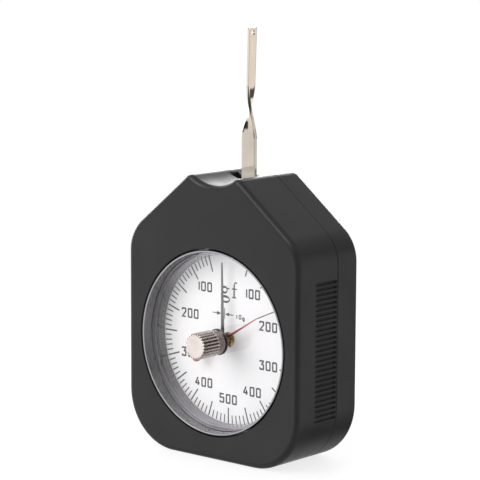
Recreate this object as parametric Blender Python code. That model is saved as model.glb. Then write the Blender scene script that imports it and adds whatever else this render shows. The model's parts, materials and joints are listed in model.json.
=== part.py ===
"""Dial force gauge with a twisted contact lever and a resettable peak pointer.

Metres, +Z up, the dial faces -Y, the origin is the middle of the flat base.
Every piece is modelled in the frame of the axis that it belongs to: x across,
y the depth behind the casing's front face, z the height above that axis.
"""

import math

import bmesh
import bpy

# Casing, with heights above the dial's axis
CASE_WIDTH = 0.0657
CASE_DEPTH = 0.0272
AXIS_HEIGHT = 0.0346
SHOULDER_RISE = 0.03005
CREST_RISE = 0.0491
CREST_HALF_WIDTH = 0.0091
SCOOP_RISE = 0.0438
BASE_FILLET = 0.017
SHOULDER_FILLET = 0.012
CREST_FILLET = 0.003
SCOOP_FILLET = 0.0145
RIM_FILLET = 0.0018
LEAST_FILLET = 0.0003
SEAM_DEPTH = 0.0175
SEAT_GAP = 0.0003
FRONT_WALL = 0.0022
SIDE_WALL = 0.002
COVER_WALL = 0.003
COVER_BACK_WALL = 0.002
LIP_CLEARANCE = 0.00015
LIP_REACH = 0.0016

# Slot that the lever comes out of
SLOT_HALF_WIDTH = 0.007
SLOT_CLEARANCE = 0.0004
SLOT_LIP_MARGIN = 0.0009

# Grip ribs on both sides
RIB_COUNT = 28
RIB_PITCH = 0.00146
RIB_MIDDLE_RISE = 0.0
RIB_FRONT_DEPTH = 0.00735
RIB_RUN_OUT = 0.0009
RIB_CREST_DROP = 0.00025
GROOVE_DEPTH = 0.00075
GROOVE_WIDTH = 0.0009

# Bezel ring, crystal and dial
BEZEL_RADIUS = 0.0271
BEZEL_GAP = 0.0004
BEZEL_LIP_WIDTH = 0.0004
BEZEL_FLANGE_RADIUS = 0.0286
BEZEL_FLANGE_DEPTH = 0.005
BEZEL_FLANGE_THICKNESS = 0.0032
FLANGE_CLEARANCE = 0.0003
WELL_WALL = 0.0015
CRYSTAL_RADIUS = 0.0263
CRYSTAL_FRONT_DEPTH = 0.00335
CRYSTAL_THICKNESS = 0.0013
CRYSTAL_CLEARANCE = 0.0001
CRYSTAL_LEDGE = 0.00055
SIGHT_RADIUS = 0.025
DIAL_RADIUS = 0.0284
DIAL_THICKNESS = 0.0008
DIAL_HOLE_RADIUS = 0.0022

# Fits between the metal pieces
FIT = 0.00005
RUNNING_FIT = 0.00005
END_SHAKE = 0.00015
OVERRUN = 0.001

# Movement plates, pillars and their screws
PLATE_THICKNESS = 0.0015
PLATE_EAR = 0.0029
MOVEMENT_SCREW_X = 0.014
MOVEMENT_SCREW_TOP = 0.0339
MOVEMENT_SCREW_FOOT = 0.0058
MOVEMENT_BOSS_RADIUS = 0.0026
PILLAR_TOP = 0.0279
PILLAR_BOTTOM = -0.006
PILLAR_RADIUS = 0.002
PILLAR_TENON_RADIUS = 0.0011
PILLAR_BORE_DEPTH = 0.0045

# Screws
MOVEMENT_SCREW_RADIUS = 0.00095
MOVEMENT_SCREW_LENGTH = 0.0055
MOVEMENT_HEAD_RADIUS = 0.0019
MOVEMENT_HEAD_HEIGHT = 0.0012
PILLAR_SCREW_RADIUS = 0.0008
PILLAR_SCREW_LENGTH = 0.005
PILLAR_HEAD_RADIUS = 0.0015
PILLAR_HEAD_HEIGHT = 0.001
COVER_SCREW_RADIUS = 0.001
COVER_SCREW_LENGTH = 0.013
COVER_HEAD_RADIUS = 0.0019
COVER_HEAD_HEIGHT = 0.0014
COVER_HEAD_SINK = 0.0012
COVER_BOSS_RADIUS = 0.003
COVER_BOSS_TOP_MARGIN = 0.0108
COVER_BOSS_TOP_RISE = 0.028
COVER_BOSS_BOTTOM_MARGIN = 0.0098
COVER_BOSS_FOOT = 0.0116
THREAD_CLEARANCE = 0.00005
PASSING_CLEARANCE = 0.0002
CROSS_MARGIN = 0.0005
DRIVE_SLOT_WIDTH = 0.00045
DRIVE_SLOT_DEPTH = 0.0005

# Lever and the pieces clamped on its arbor
PIVOT_RISE = 0.028
SWING_LIMIT = math.radians(12)
STRIP_THICKNESS = 0.001
STRIP_WIDTH = 0.00507
STRIP_EYE_RADIUS = 0.0042
STRIP_TAPER_START = 0.0288
STRIP_TAPER_END = 0.036
NECK_WIDTH = 0.0033
TWIST_START = 0.0366
TWIST_END = 0.0457
TWIST_ANGLE = math.radians(-90)
BLADE_THICKNESS = 0.00085
BLADE_ROOT_WIDTH = 0.003
BLADE_TIP_WIDTH = 0.0032
BLADE_TIP_RISE = 0.06265
BLADE_ROOT_LEAN = 0.0006
BLADE_TIP_LEAN = 0.00115
BLADE_CORNER = 0.0004
BLADE_HOLE_RADIUS = 0.00085
BLADE_HOLE_DROP = 0.00155
ARBOR_RADIUS = 0.0015
ARBOR_PIVOT_RADIUS = 0.0009
ARBOR_COLLAR_RADIUS = 0.0026
ARBOR_COLLAR_THICKNESS = 0.0007
COLLAR_STANDOFF = 0.00132
HUB_THICKNESS = 0.0018
DOWEL_OFFSET = 0.0029
DOWEL_RADIUS = 0.0005
NUT_RADIUS = 0.0026
NUT_THICKNESS = 0.0013
NUT_SIDES = 6
NUT_CLEARANCE = 0.0007
BUSH_WALL = 0.001
BUSH_PROUD = 0.0002
STOP_RISE = 0.007
STOP_RADIUS = 0.001
STOP_CLEARANCE = 0.00008

# Sector and pinion
GEAR_MODULE = 0.00035
WHEEL_TEETH = 150
SECTOR_TEETH = 15
PINION_LEAVES = 10
SECTOR_THICKNESS = 0.0012
SECTOR_RIM = 0.0026
SECTOR_SPOKE_SHARE = 0.6
WINDOW_NEAR = 0.0072
WINDOW_MARGIN = 0.0022
WHEEL_ADDENDUM = 0.00048
WHEEL_DEDENDUM = 0.00036
TOOTH_WIDTH = 0.0005
LEAF_WIDTH = 0.0004
PINION_DEDENDUM = 0.0006
PINION_OVERLAP = 0.0004
TOOTH_FACE_SHARES = (0.6, 1.0)
LEAF_TIP_SHARE = 0.45
FACE_HALVINGS = 40

# Range springs and the arm that pulls them
ARM_THICKNESS = 0.001
SPRING_OFFSET = 0.009
SPRING_SPAN = 0.016
SPRING_WIRE = 0.0007
SPRING_RADIUS = 0.0018
SPRING_TURNS = 7
SPRING_END_RISE = 0.0023
LOOP_TURN_SHARE = 0.75
EAR_RADIUS = 0.0016
POST_RADIUS = 0.0009
POST_COLLAR_RADIUS = 0.0014
POST_REACH = 0.0009

# Pointer shaft, hairspring and pointers
SHAFT_RADIUS = 0.00075
SHAFT_FRONT_RADIUS = 0.0005
SHAFT_PIVOT_RADIUS = 0.0004
COLLET_RADIUS = 0.0013
COLLET_STANDOFF = 0.0046
COLLET_THICKNESS = 0.0014
HAIRSPRING_TURNS = 4
HAIRSPRING_OUTER_RADIUS = 0.005
HAIRSPRING_WIDTH = 0.0007
HAIRSPRING_THICKNESS = 0.00022
STUD_RADIUS = 0.0005
ZERO_POINTER_ANGLE = math.radians(-1.05)
ZERO_POINTER_DEPTH = 0.00575
POINTER_THICKNESS = 0.00018
ZERO_POINTER_REACH = 0.023
ZERO_POINTER_ROOT_WIDTH = 0.0012
ZERO_POINTER_TIP_WIDTH = 0.00045
POINTER_HUB_RADIUS = 0.0015
POINTER_HUB_REAR_DEPTH = 0.0081
POINTER_NECK_RADIUS = 0.0009
POINTER_EYE_RADIUS = 0.002
PEAK_ANGLE = math.radians(58.3)
PEAK_POINTER_DEPTH = 0.00498
PEAK_POINTER_REACH = 0.024
PEAK_POINTER_ROOT_WIDTH = 0.0006
PEAK_POINTER_TIP_WIDTH = 0.0003
PEAK_BEND_RADIUS = 0.0155
PEAK_TIP_DRIFT = 0.0012
PEAK_TAIL_REACH = 0.0111
PEAK_TAIL_WIDTH = 0.0008
PEAK_WEIGHT_RADIUS = 0.00215
PEAK_HUB_RADIUS = 0.0015
PEAK_NECK_RADIUS = 0.00105
PEAK_HUB_REAR_DEPTH = 0.0054

# Reset knob
KNOB_RADIUS = 0.00386
KNOB_LENGTH = 0.0098
KNOB_FLUTED_LENGTH = 0.0066
KNOB_FLUTES = 24
FLUTE_DEPTH = 0.00036
KNOB_CHAMFER = 0.0004
KNOB_FACE_DROP = 0.0001
KNOB_COLLAR_RADIUS = 0.00362
KNOB_FOOT_RADIUS = 0.00343
KNOB_FOOT_HEIGHT = 0.0005
KNOB_BORE_DEPTH = 0.0072
KNOB_RECESS_RADIUS = 0.0027
KNOB_RECESS_DEPTH = 0.0011
SPINDLE_RADIUS = 0.0007
BUSHING_FLANGE_RADIUS = 0.0039
BUSHING_FLANGE_THICKNESS = 0.00035
BUSHING_RADIUS = 0.0015
BUSHING_PROUD = 0.00005
FRICTION_WASHER_RADIUS = 0.0024
FRICTION_WASHER_THICKNESS = 0.0002

# Facets
RING_STEPS = 48
KNOB_POINTS_PER_FLUTE = 3
PIN_STEPS = 10
HUB_STEPS = 18
ARC_ERROR = 0.00006
RIM_STEPS = 2
CURL_POINTS = 8
LOOP_POINTS = 6
HAIRSPRING_POINTS = 12
TAPER_SECTIONS = 4
TWIST_SECTIONS = 12
SMOOTH_ANGLE = math.radians(32)
WELD_DISTANCE = 1e-7

# Depths and places worked out from the sizes above
CASE_HALF_WIDTH = CASE_WIDTH / 2
SHELL_END = SEAM_DEPTH - SEAT_GAP / 2
COVER_START = SEAM_DEPTH + SEAT_GAP / 2
OPENING_RADIUS = BEZEL_RADIUS + BEZEL_GAP
WELL_RADIUS = BEZEL_FLANGE_RADIUS + FLANGE_CLEARANCE
WELL_SHOULDER = BEZEL_FLANGE_DEPTH - SEAT_GAP
BEZEL_REAR = BEZEL_FLANGE_DEPTH + BEZEL_FLANGE_THICKNESS
DIAL_FRONT = BEZEL_REAR + SEAT_GAP
DIAL_REAR = DIAL_FRONT + DIAL_THICKNESS
FRONT_PLATE = DIAL_REAR + SEAT_GAP
FRONT_PLATE_REAR = FRONT_PLATE + PLATE_THICKNESS
BOSS_END = FRONT_PLATE - SEAT_GAP
CRYSTAL_REAR = CRYSTAL_FRONT_DEPTH + CRYSTAL_THICKNESS
BUSH_FRONT_END = FRONT_PLATE + FIT
BUSH_INNER_FRONT = FRONT_PLATE_REAR + BUSH_PROUD
COLLAR_FRONT = FRONT_PLATE_REAR + COLLAR_STANDOFF
COLLAR_REAR = COLLAR_FRONT + ARBOR_COLLAR_THICKNESS
SECTOR_FRONT = COLLAR_REAR + FIT
SECTOR_REAR = SECTOR_FRONT + SECTOR_THICKNESS
HUB_FRONT = SECTOR_REAR + FIT
HUB_REAR = HUB_FRONT + HUB_THICKNESS
STRIP_FRONT = HUB_REAR + FIT
STRIP_REAR = STRIP_FRONT + STRIP_THICKNESS
SLOT_FRONT = STRIP_FRONT - SLOT_CLEARANCE
ARM_FRONT = STRIP_REAR + FIT
ARM_REAR = ARM_FRONT + ARM_THICKNESS
NUT_FRONT = ARM_REAR + FIT
NUT_REAR = NUT_FRONT + NUT_THICKNESS
BACK_PLATE = NUT_REAR + NUT_CLEARANCE
BACK_PLATE_REAR = BACK_PLATE + PLATE_THICKNESS
BUSH_INNER_BACK = BACK_PLATE - BUSH_PROUD
COLLET_FRONT = FRONT_PLATE_REAR + COLLET_STANDOFF
SPRING_DEPTH = ARM_FRONT - SPRING_WIRE / 2 - 2 * FIT
SPRING_LOOP_RADIUS = POST_RADIUS + SPRING_WIRE / 2 + FIT
POST_FRONT = SPRING_DEPTH - POST_REACH
WHEEL_RADIUS = GEAR_MODULE * WHEEL_TEETH / 2
PINION_RADIUS = GEAR_MODULE * PINION_LEAVES / 2
MOVEMENT_SCREW_BOTTOM = MOVEMENT_SCREW_FOOT - AXIS_HEIGHT
COVER_BOSS_TOP_X = CASE_HALF_WIDTH - COVER_BOSS_TOP_MARGIN
COVER_BOSS_BOTTOM_X = CASE_HALF_WIDTH - COVER_BOSS_BOTTOM_MARGIN
COVER_BOSS_BOTTOM_RISE = COVER_BOSS_FOOT - AXIS_HEIGHT
KNOB_REAR = CRYSTAL_FRONT_DEPTH - BUSHING_FLANGE_THICKNESS - 2 * FIT
KNOB_FRONT = KNOB_REAR - KNOB_LENGTH
SPINDLE_END = PEAK_HUB_REAR_DEPTH - FIT


def clear_scene():
    for item in list(bpy.data.objects):
        bpy.data.objects.remove(item, do_unlink=True)


def material(name, colour, roughness, metallic, transmission=0.0):
    """A Principled material, made once and shared by the pieces of that finish."""
    made = bpy.data.materials.get(name)
    if made:
        return made
    made = bpy.data.materials.new(name)
    made.use_nodes = True
    surface = made.node_tree.nodes["Principled BSDF"]
    surface.inputs["Base Color"].default_value = (*colour, 1.0)
    surface.inputs["Roughness"].default_value = roughness
    surface.inputs["Metallic"].default_value = metallic
    surface.inputs["Transmission Weight"].default_value = transmission
    made.diffuse_color = (*colour, 1.0)
    return made


def black_plastic():
    return material("black_plastic", (0.045, 0.045, 0.047), 0.48, 0.0)


def dark_ring():
    return material("dark_ring", (0.09, 0.09, 0.095), 0.25, 0.0)


def clear_plastic():
    return material("clear_plastic", (0.96, 0.97, 0.98), 0.03, 0.0, 1.0)


def dial_white():
    return material("dial_white", (0.85, 0.86, 0.88), 0.5, 0.0)


def nickel():
    return material("nickel", (0.62, 0.57, 0.5), 0.24, 1.0)


def brass():
    return material("brass", (0.72, 0.52, 0.24), 0.3, 1.0)


def steel():
    return material("steel", (0.5, 0.5, 0.51), 0.32, 1.0)


def pointer_black():
    return material("pointer_black", (0.02, 0.02, 0.02), 0.4, 0.0)


def pointer_red():
    return material("pointer_red", (0.62, 0.05, 0.07), 0.4, 0.0)


def axis_frame(name, height, turn=0.0):
    """An empty on the casing's front plane at this height, turned clockwise about the depth axis."""
    frame = bpy.data.objects.new(name, None)
    frame.empty_display_size = SIDE_WALL
    frame.location = (0.0, -CASE_DEPTH / 2, height)
    frame.rotation_euler = (0.0, turn, 0.0)
    bpy.context.scene.collection.objects.link(frame)
    return frame


def finish_mesh(bm, name, frame, look=None):
    """Closes the mesh into a named object that stands in the frame of its axis."""
    bmesh.ops.remove_doubles(bm, verts=bm.verts, dist=WELD_DISTANCE)
    bmesh.ops.recalc_face_normals(bm, faces=bm.faces)
    mesh = bpy.data.meshes.new(name)
    bm.to_mesh(mesh)
    bm.free()
    mesh.shade_smooth()
    mesh.set_sharp_from_angle(angle=SMOOTH_ANGLE)
    piece = bpy.data.objects.new(name, mesh)
    bpy.context.scene.collection.objects.link(piece)
    piece.parent = frame
    if look:
        mesh.materials.append(look)
    return piece


def combine(target, tool, operation):
    """Cuts the tool from the target or joins it on, and keeps the tool as a hidden helper."""
    tool.hide_render = True
    tool.display_type = "WIRE"
    change = target.modifiers.new(tool.name, "BOOLEAN")
    change.operation = operation
    change.solver = "EXACT"
    change.object = tool


def cut(target, tool):
    combine(target, tool, "DIFFERENCE")


def join(target, tool):
    combine(target, tool, "UNION")


def unit(x, z):
    length = math.hypot(x, z)
    return x / length, z / length


def arc_steps(radius, turn):
    """How many chords an arc needs to stay within the arc error."""
    share = min(1.0, ARC_ERROR / radius)
    return max(2, math.ceil(turn / (2 * math.acos(1 - share))))


def rounded(corners):
    """The outline through these (x, z, fillet) corners, each rounded by its fillet."""
    count = len(corners)
    ways = []
    for i, (x, z, _) in enumerate(corners):
        after = corners[(i + 1) % count]
        ways.append((*unit(after[0] - x, after[1] - z), math.hypot(after[0] - x, after[1] - z)))
    turns = []
    reaches = []
    for i, (x, z, fillet) in enumerate(corners):
        ax, az, _ = ways[i - 1]
        bx, bz, _ = ways[i]
        turn = math.atan2(ax * bz - az * bx, ax * bx + az * bz)
        turns.append(turn)
        reaches.append(fillet * math.tan(abs(turn) / 2))
    for i in range(count):
        together = reaches[i] + reaches[(i + 1) % count]
        if together > ways[i][2]:
            reaches[i] *= ways[i][2] / together
            reaches[(i + 1) % count] *= ways[i][2] / together
    points = []
    for i, (x, z, _) in enumerate(corners):
        ax, az, _ = ways[i - 1]
        turn = turns[i]
        reach = reaches[i]
        if not reach:
            points.append((x, z))
            continue
        radius = math.copysign(reach / math.tan(abs(turn) / 2), turn)
        centre_x = x - ax * reach - az * radius
        centre_z = z - az * reach + ax * radius
        steps = arc_steps(abs(radius), abs(turn))
        for k in range(steps + 1):
            angle = turn * k / steps
            points.append(
                (
                    centre_x + radius * (az * math.cos(angle) + ax * math.sin(angle)),
                    centre_z + radius * (az * math.sin(angle) - ax * math.cos(angle)),
                )
            )
    return points


def case_corners():
    """The casing's corners, anticlockwise from the lower right one."""
    right = [
        (CASE_HALF_WIDTH, -AXIS_HEIGHT, BASE_FILLET),
        (CASE_HALF_WIDTH, SHOULDER_RISE, SHOULDER_FILLET),
        (CREST_HALF_WIDTH, CREST_RISE, CREST_FILLET),
    ]
    scoop = [(0.0, SCOOP_RISE, SCOOP_FILLET)]
    left = [(-x, z, fillet) for x, z, fillet in reversed(right)]
    return right + scoop + left


def case_outline(inset=0.0):
    """The casing's outline, drawn in by the inset on all sides."""
    corners = case_corners()
    count = len(corners)
    moved = []
    for i, (x, z, fillet) in enumerate(corners):
        before = corners[i - 1]
        after = corners[(i + 1) % count]
        ax, az = unit(x - before[0], z - before[1])
        bx, bz = unit(after[0] - x, after[1] - z)
        cross = ax * bz - az * bx
        along = inset * (1 - ax * bx - az * bz) / cross
        new_x = x - az * inset - ax * along
        new_z = z + ax * inset - az * along
        new_fillet = max(fillet - inset, LEAST_FILLET) if cross > 0 else fillet + inset
        moved.append((new_x, new_z, new_fillet))
    return rounded(moved)


def extrude(bm, outline, near, far):
    """A prism of this (x, z) outline between two depths."""
    corners = [bm.verts.new((x, near, z)) for x, z in outline]
    face = bm.faces.new(corners)
    grown = bmesh.ops.extrude_face_region(bm, geom=[face])
    moved = [item for item in grown["geom"] if isinstance(item, bmesh.types.BMVert)]
    bmesh.ops.translate(bm, vec=(0.0, far - near, 0.0), verts=moved)


def soften_rim(bm, depth):
    """Rounds the edges that lie at this depth."""
    rim = [edge for edge in bm.edges if all(abs(v.co.y - depth) < WELD_DISTANCE for v in edge.verts)]
    bmesh.ops.bevel(
        bm,
        geom=rim,
        offset=RIM_FILLET,
        offset_type="OFFSET",
        segments=RIM_STEPS,
        profile=0.5,
        affect="EDGES",
        clamp_overlap=True,
    )


def spin(bm, profile, steps, x=0.0, z=0.0):
    """Turns a (radius, depth) profile about the depth axis through (x, z)."""
    ring = [bm.verts.new((x + radius, depth, z)) for radius, depth in profile]
    edges = [bm.edges.new(pair) for pair in zip(ring, ring[1:])]
    if profile[0][0] and profile[-1][0]:
        edges.append(bm.edges.new((ring[-1], ring[0])))
    bmesh.ops.spin(
        bm,
        geom=ring + edges,
        cent=(x, 0.0, z),
        axis=(0.0, 1.0, 0.0),
        angle=math.tau,
        steps=steps,
        use_merge=True,
    )


def turned(name, frame, look, profile, steps, x=0.0, z=0.0):
    bm = bmesh.new()
    spin(bm, profile, steps, x, z)
    return finish_mesh(bm, name, frame, look)


def rod(near, far, radius):
    """The profile of a plain round rod."""
    return [(0.0, near), (radius, near), (radius, far), (0.0, far)]


def tube(near, far, inner, outer):
    """The profile of a plain round tube."""
    return [(inner, near), (outer, near), (outer, far), (inner, far)]


def plate(name, frame, look, outline, near, far):
    bm = bmesh.new()
    extrude(bm, outline, near, far)
    return finish_mesh(bm, name, frame, look)


def bores(name, frame, places, near, far, steps=PIN_STEPS):
    """A cutter of round bores at these (x, z, radius) places."""
    bm = bmesh.new()
    for x, z, radius in places:
        spin(bm, rod(near, far, radius), steps, x, z)
    return finish_mesh(bm, name, frame)


def box_outline(half_width, low, high):
    return [(half_width, low), (half_width, high), (-half_width, high), (-half_width, low)]


def mirrored(places):
    """Each place on the right with its copy on the left."""
    return [(side * x, *rest) for x, *rest in places for side in (1, -1)]


def movement_screw_places():
    return mirrored([(MOVEMENT_SCREW_X, MOVEMENT_SCREW_TOP), (MOVEMENT_SCREW_X, MOVEMENT_SCREW_BOTTOM)])


def pillar_places():
    return mirrored([(MOVEMENT_SCREW_X, PILLAR_TOP), (MOVEMENT_SCREW_X, PILLAR_BOTTOM)])


def cover_screw_places():
    return mirrored(
        [(COVER_BOSS_TOP_X, COVER_BOSS_TOP_RISE), (COVER_BOSS_BOTTOM_X, COVER_BOSS_BOTTOM_RISE)]
    )


def with_radius(places, radius):
    return [(x, z, radius) for x, z in places]


def rib_comb(side):
    """The zigzag section that cuts the grip ribs into one side wall, from bottom to top."""
    outside = side * (CASE_HALF_WIDTH + OVERRUN)
    crest = side * (CASE_HALF_WIDTH - RIB_CREST_DROP)
    floor = side * (CASE_HALF_WIDTH - GROOVE_DEPTH)
    low = RIB_MIDDLE_RISE - RIB_COUNT * RIB_PITCH / 2
    points = [(outside, low), (crest, low)]
    for i in range(RIB_COUNT):
        middle = low + (i + 0.5) * RIB_PITCH
        points.append((crest, middle - GROOVE_WIDTH / 2))
        points.append((floor, middle))
        points.append((crest, middle + GROOVE_WIDTH / 2))
    points.append((crest, low + RIB_COUNT * RIB_PITCH))
    points.append((outside, low + RIB_COUNT * RIB_PITCH))
    return points


def rib_cutter(name, frame, side):
    """The ribs' cutter: full section to the seam, running out to nothing at its front end."""
    comb = rib_comb(side)
    bm = bmesh.new()
    full = [bm.verts.new((x, RIB_FRONT_DEPTH + RIB_RUN_OUT, z)) for x, z in comb]
    outside = side * (CASE_HALF_WIDTH + OVERRUN)
    thin = side * (CASE_HALF_WIDTH + FIT)
    front = [
        bm.verts.new((outside if x == outside else thin, RIB_FRONT_DEPTH, z)) for x, z in comb
    ]
    rear = [bm.verts.new((x, SHELL_END + OVERRUN, z)) for x, z in comb]
    bridge_rings(bm, [front, full, rear])
    return finish_mesh(bm, name, frame)


def bridge_rings(bm, rings):
    """Walls between rings of equal count, with both ends capped."""
    for near, far in zip(rings, rings[1:]):
        for i in range(len(near)):
            bm.faces.new((near[i - 1], near[i], far[i], far[i - 1]))
    bm.faces.new(rings[0])
    bm.faces.new(rings[-1])


def front_housing(frame):
    """Moulded front shell: well for the bezel and dial, fixing bosses, grip ribs and lever slot."""
    bm = bmesh.new()
    extrude(bm, case_outline(), 0.0, SHELL_END)
    soften_rim(bm, 0.0)
    shell = finish_mesh(bm, "front_housing", frame, black_plastic())
    for side, name in ((1, "ribs_right"), (-1, "ribs_left")):
        cut(shell, rib_cutter(name, frame, side))
    cut(shell, plate("cavity", frame, None, case_outline(SIDE_WALL), FRONT_WALL, SHELL_END + OVERRUN))
    rooted = FRONT_WALL - OVERRUN
    bm = bmesh.new()
    spin(bm, rod(rooted, BOSS_END, WELL_RADIUS + WELL_WALL), RING_STEPS)
    join(shell, finish_mesh(bm, "well_wall", frame))
    bm = bmesh.new()
    for x, z in movement_screw_places():
        spin(bm, rod(rooted, BOSS_END, MOVEMENT_BOSS_RADIUS), PIN_STEPS, x, z)
    join(shell, finish_mesh(bm, "movement_bosses", frame))
    bm = bmesh.new()
    for x, z in cover_screw_places():
        spin(bm, rod(rooted, SHELL_END, COVER_BOSS_RADIUS), PIN_STEPS, x, z)
    join(shell, finish_mesh(bm, "housing_bosses", frame))
    opening = turned(
        "dial_well",
        frame,
        None,
        [
            (0.0, -OVERRUN),
            (OPENING_RADIUS, -OVERRUN),
            (OPENING_RADIUS, WELL_SHOULDER),
            (WELL_RADIUS, WELL_SHOULDER),
            (WELL_RADIUS, BOSS_END + OVERRUN),
            (0.0, BOSS_END + OVERRUN),
        ],
        RING_STEPS,
    )
    cut(shell, opening)
    thread = with_radius(movement_screw_places(), MOVEMENT_SCREW_RADIUS + THREAD_CLEARANCE)
    tip = FRONT_PLATE_REAR - MOVEMENT_SCREW_LENGTH - PLATE_THICKNESS
    cut(shell, bores("movement_threads", frame, thread, tip, BOSS_END + OVERRUN))
    thread = with_radius(cover_screw_places(), COVER_SCREW_RADIUS + THREAD_CLEARANCE)
    tip = cover_head_front() - COVER_SCREW_LENGTH - SEAT_GAP
    cut(shell, bores("cover_threads", frame, thread, tip, SHELL_END + OVERRUN))
    slot = box_outline(SLOT_HALF_WIDTH, SCOOP_RISE - COVER_WALL, CREST_RISE + OVERRUN)
    cut(shell, plate("lever_slot", frame, None, slot, SLOT_FRONT, SHELL_END + OVERRUN))
    for change in shell.modifiers:
        change.solver = "MANIFOLD"


def cover_head_front():
    """The depth of the face that the cover screws' heads press on."""
    return CASE_DEPTH - COVER_HEAD_SINK - COVER_HEAD_HEIGHT


def rear_cover(frame):
    """Tray-shaped back: a lip that enters the front shell, bosses and sunk screw seats."""
    bm = bmesh.new()
    extrude(bm, case_outline(), COVER_START, CASE_DEPTH)
    soften_rim(bm, CASE_DEPTH)
    cover = finish_mesh(bm, "rear_cover", frame, black_plastic())
    lip = case_outline(SIDE_WALL + LIP_CLEARANCE)
    join(cover, plate("cover_lip", frame, None, lip, SHELL_END - LIP_REACH, COVER_START + OVERRUN))
    hollow = case_outline(COVER_WALL)
    floor = CASE_DEPTH - COVER_BACK_WALL
    cut(cover, plate("cover_hollow", frame, None, hollow, SHELL_END - LIP_REACH - OVERRUN, floor))
    bm = bmesh.new()
    for x, z in cover_screw_places():
        spin(bm, rod(COVER_START, floor + OVERRUN, COVER_BOSS_RADIUS), PIN_STEPS, x, z)
    join(cover, finish_mesh(bm, "cover_bosses", frame))
    half_gap = SLOT_HALF_WIDTH + SLOT_LIP_MARGIN
    gap = box_outline(half_gap, SCOOP_RISE - COVER_WALL, CREST_RISE + OVERRUN)
    cut(cover, plate("lip_gap", frame, None, gap, SHELL_END - LIP_REACH - OVERRUN, COVER_START))
    passing = with_radius(cover_screw_places(), COVER_SCREW_RADIUS + PASSING_CLEARANCE)
    cut(cover, bores("cover_holes", frame, passing, COVER_START - OVERRUN, CASE_DEPTH + OVERRUN))
    sunk = with_radius(cover_screw_places(), COVER_HEAD_RADIUS + PASSING_CLEARANCE)
    seat = cover_head_front() - FIT
    cut(cover, bores("head_seats", frame, sunk, seat, CASE_DEPTH + OVERRUN))


def screw(name, frame, place, head_front, radius, length, head_radius, head_height, crossed):
    """A screw driven from behind, its tip towards the dial, with a slot or a cross in its head."""
    x, z = place
    head_rear = head_front + head_height
    profile = [
        (0.0, head_front - length),
        (radius, head_front - length),
        (radius, head_front),
        (head_radius, head_front),
        (head_radius, head_rear),
        (0.0, head_rear),
    ]
    piece = turned(name, frame, steel(), profile, PIN_STEPS, x, z)
    half = DRIVE_SLOT_WIDTH / 2
    reach = head_radius - CROSS_MARGIN if crossed else head_radius + OVERRUN
    arm = [(reach, -half), (reach, half)]
    if crossed:
        arm.append((half, half))
    corners = []
    quarters = 4 if crossed else 2
    for k in range(quarters):
        angle = math.tau * k / quarters
        for px, pz in arm:
            turned_x = px * math.cos(angle) - pz * math.sin(angle)
            turned_z = px * math.sin(angle) + pz * math.cos(angle)
            corners.append((x + turned_x, z + turned_z))
    slot_floor = head_rear - DRIVE_SLOT_DEPTH
    cut(piece, plate(name + "_drive", frame, None, corners, slot_floor, head_rear + OVERRUN))


def cover_screws(frame):
    for i, place in enumerate(cover_screw_places(), 1):
        screw(
            f"cover_screw_{i}",
            frame,
            place,
            cover_head_front(),
            COVER_SCREW_RADIUS,
            COVER_SCREW_LENGTH,
            COVER_HEAD_RADIUS,
            COVER_HEAD_HEIGHT,
            True,
        )


def movement_screws(frame):
    for i, place in enumerate(movement_screw_places(), 1):
        screw(
            f"movement_screw_{i}",
            frame,
            place,
            FRONT_PLATE_REAR + FIT,
            MOVEMENT_SCREW_RADIUS,
            MOVEMENT_SCREW_LENGTH,
            MOVEMENT_HEAD_RADIUS,
            MOVEMENT_HEAD_HEIGHT,
            False,
        )


def pillar_screws(frame):
    for i, place in enumerate(pillar_places(), 1):
        screw(
            f"pillar_screw_{i}",
            frame,
            place,
            BACK_PLATE_REAR + FIT,
            PILLAR_SCREW_RADIUS,
            PILLAR_SCREW_LENGTH,
            PILLAR_HEAD_RADIUS,
            PILLAR_HEAD_HEIGHT,
            False,
        )


def bezel_ring(frame):
    """Conical sight ring: thin front lip, seat for the crystal, rear flange held in the well."""
    seat_radius = CRYSTAL_RADIUS + CRYSTAL_CLEARANCE
    profile = [
        (BEZEL_RADIUS - BEZEL_LIP_WIDTH, 0.0),
        (BEZEL_RADIUS, 0.0),
        (BEZEL_RADIUS, BEZEL_FLANGE_DEPTH),
        (BEZEL_FLANGE_RADIUS, BEZEL_FLANGE_DEPTH),
        (BEZEL_FLANGE_RADIUS, BEZEL_REAR),
        (SIGHT_RADIUS, BEZEL_REAR),
        (seat_radius - CRYSTAL_LEDGE, CRYSTAL_REAR + FIT),
        (seat_radius, CRYSTAL_REAR + FIT),
        (seat_radius, CRYSTAL_FRONT_DEPTH - FIT),
    ]
    turned("bezel_ring", frame, dark_ring(), profile, RING_STEPS)


def crystal(frame):
    """Clear disc over the dial, with a hole for the knob's bushing."""
    hole = BUSHING_RADIUS + FIT
    profile = tube(CRYSTAL_FRONT_DEPTH, CRYSTAL_REAR, hole, CRYSTAL_RADIUS)
    turned("crystal", frame, clear_plastic(), profile, RING_STEPS)


def knob_bushing(frame):
    """Flanged bushing that carries the knob's spindle in the crystal."""
    flange_rear = CRYSTAL_FRONT_DEPTH - FIT
    flange_front = flange_rear - BUSHING_FLANGE_THICKNESS
    bore = SPINDLE_RADIUS + RUNNING_FIT
    profile = [
        (bore, flange_front),
        (BUSHING_FLANGE_RADIUS, flange_front),
        (BUSHING_FLANGE_RADIUS, flange_rear),
        (BUSHING_RADIUS, flange_rear),
        (BUSHING_RADIUS, CRYSTAL_REAR + BUSHING_PROUD),
        (bore, CRYSTAL_REAR + BUSHING_PROUD),
    ]
    turned("knob_bushing", frame, dark_ring(), profile, HUB_STEPS)


def dial_plate(frame):
    profile = tube(DIAL_FRONT, DIAL_REAR, DIAL_HOLE_RADIUS, DIAL_RADIUS)
    turned("dial_plate", frame, dial_white(), profile, RING_STEPS)


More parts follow.
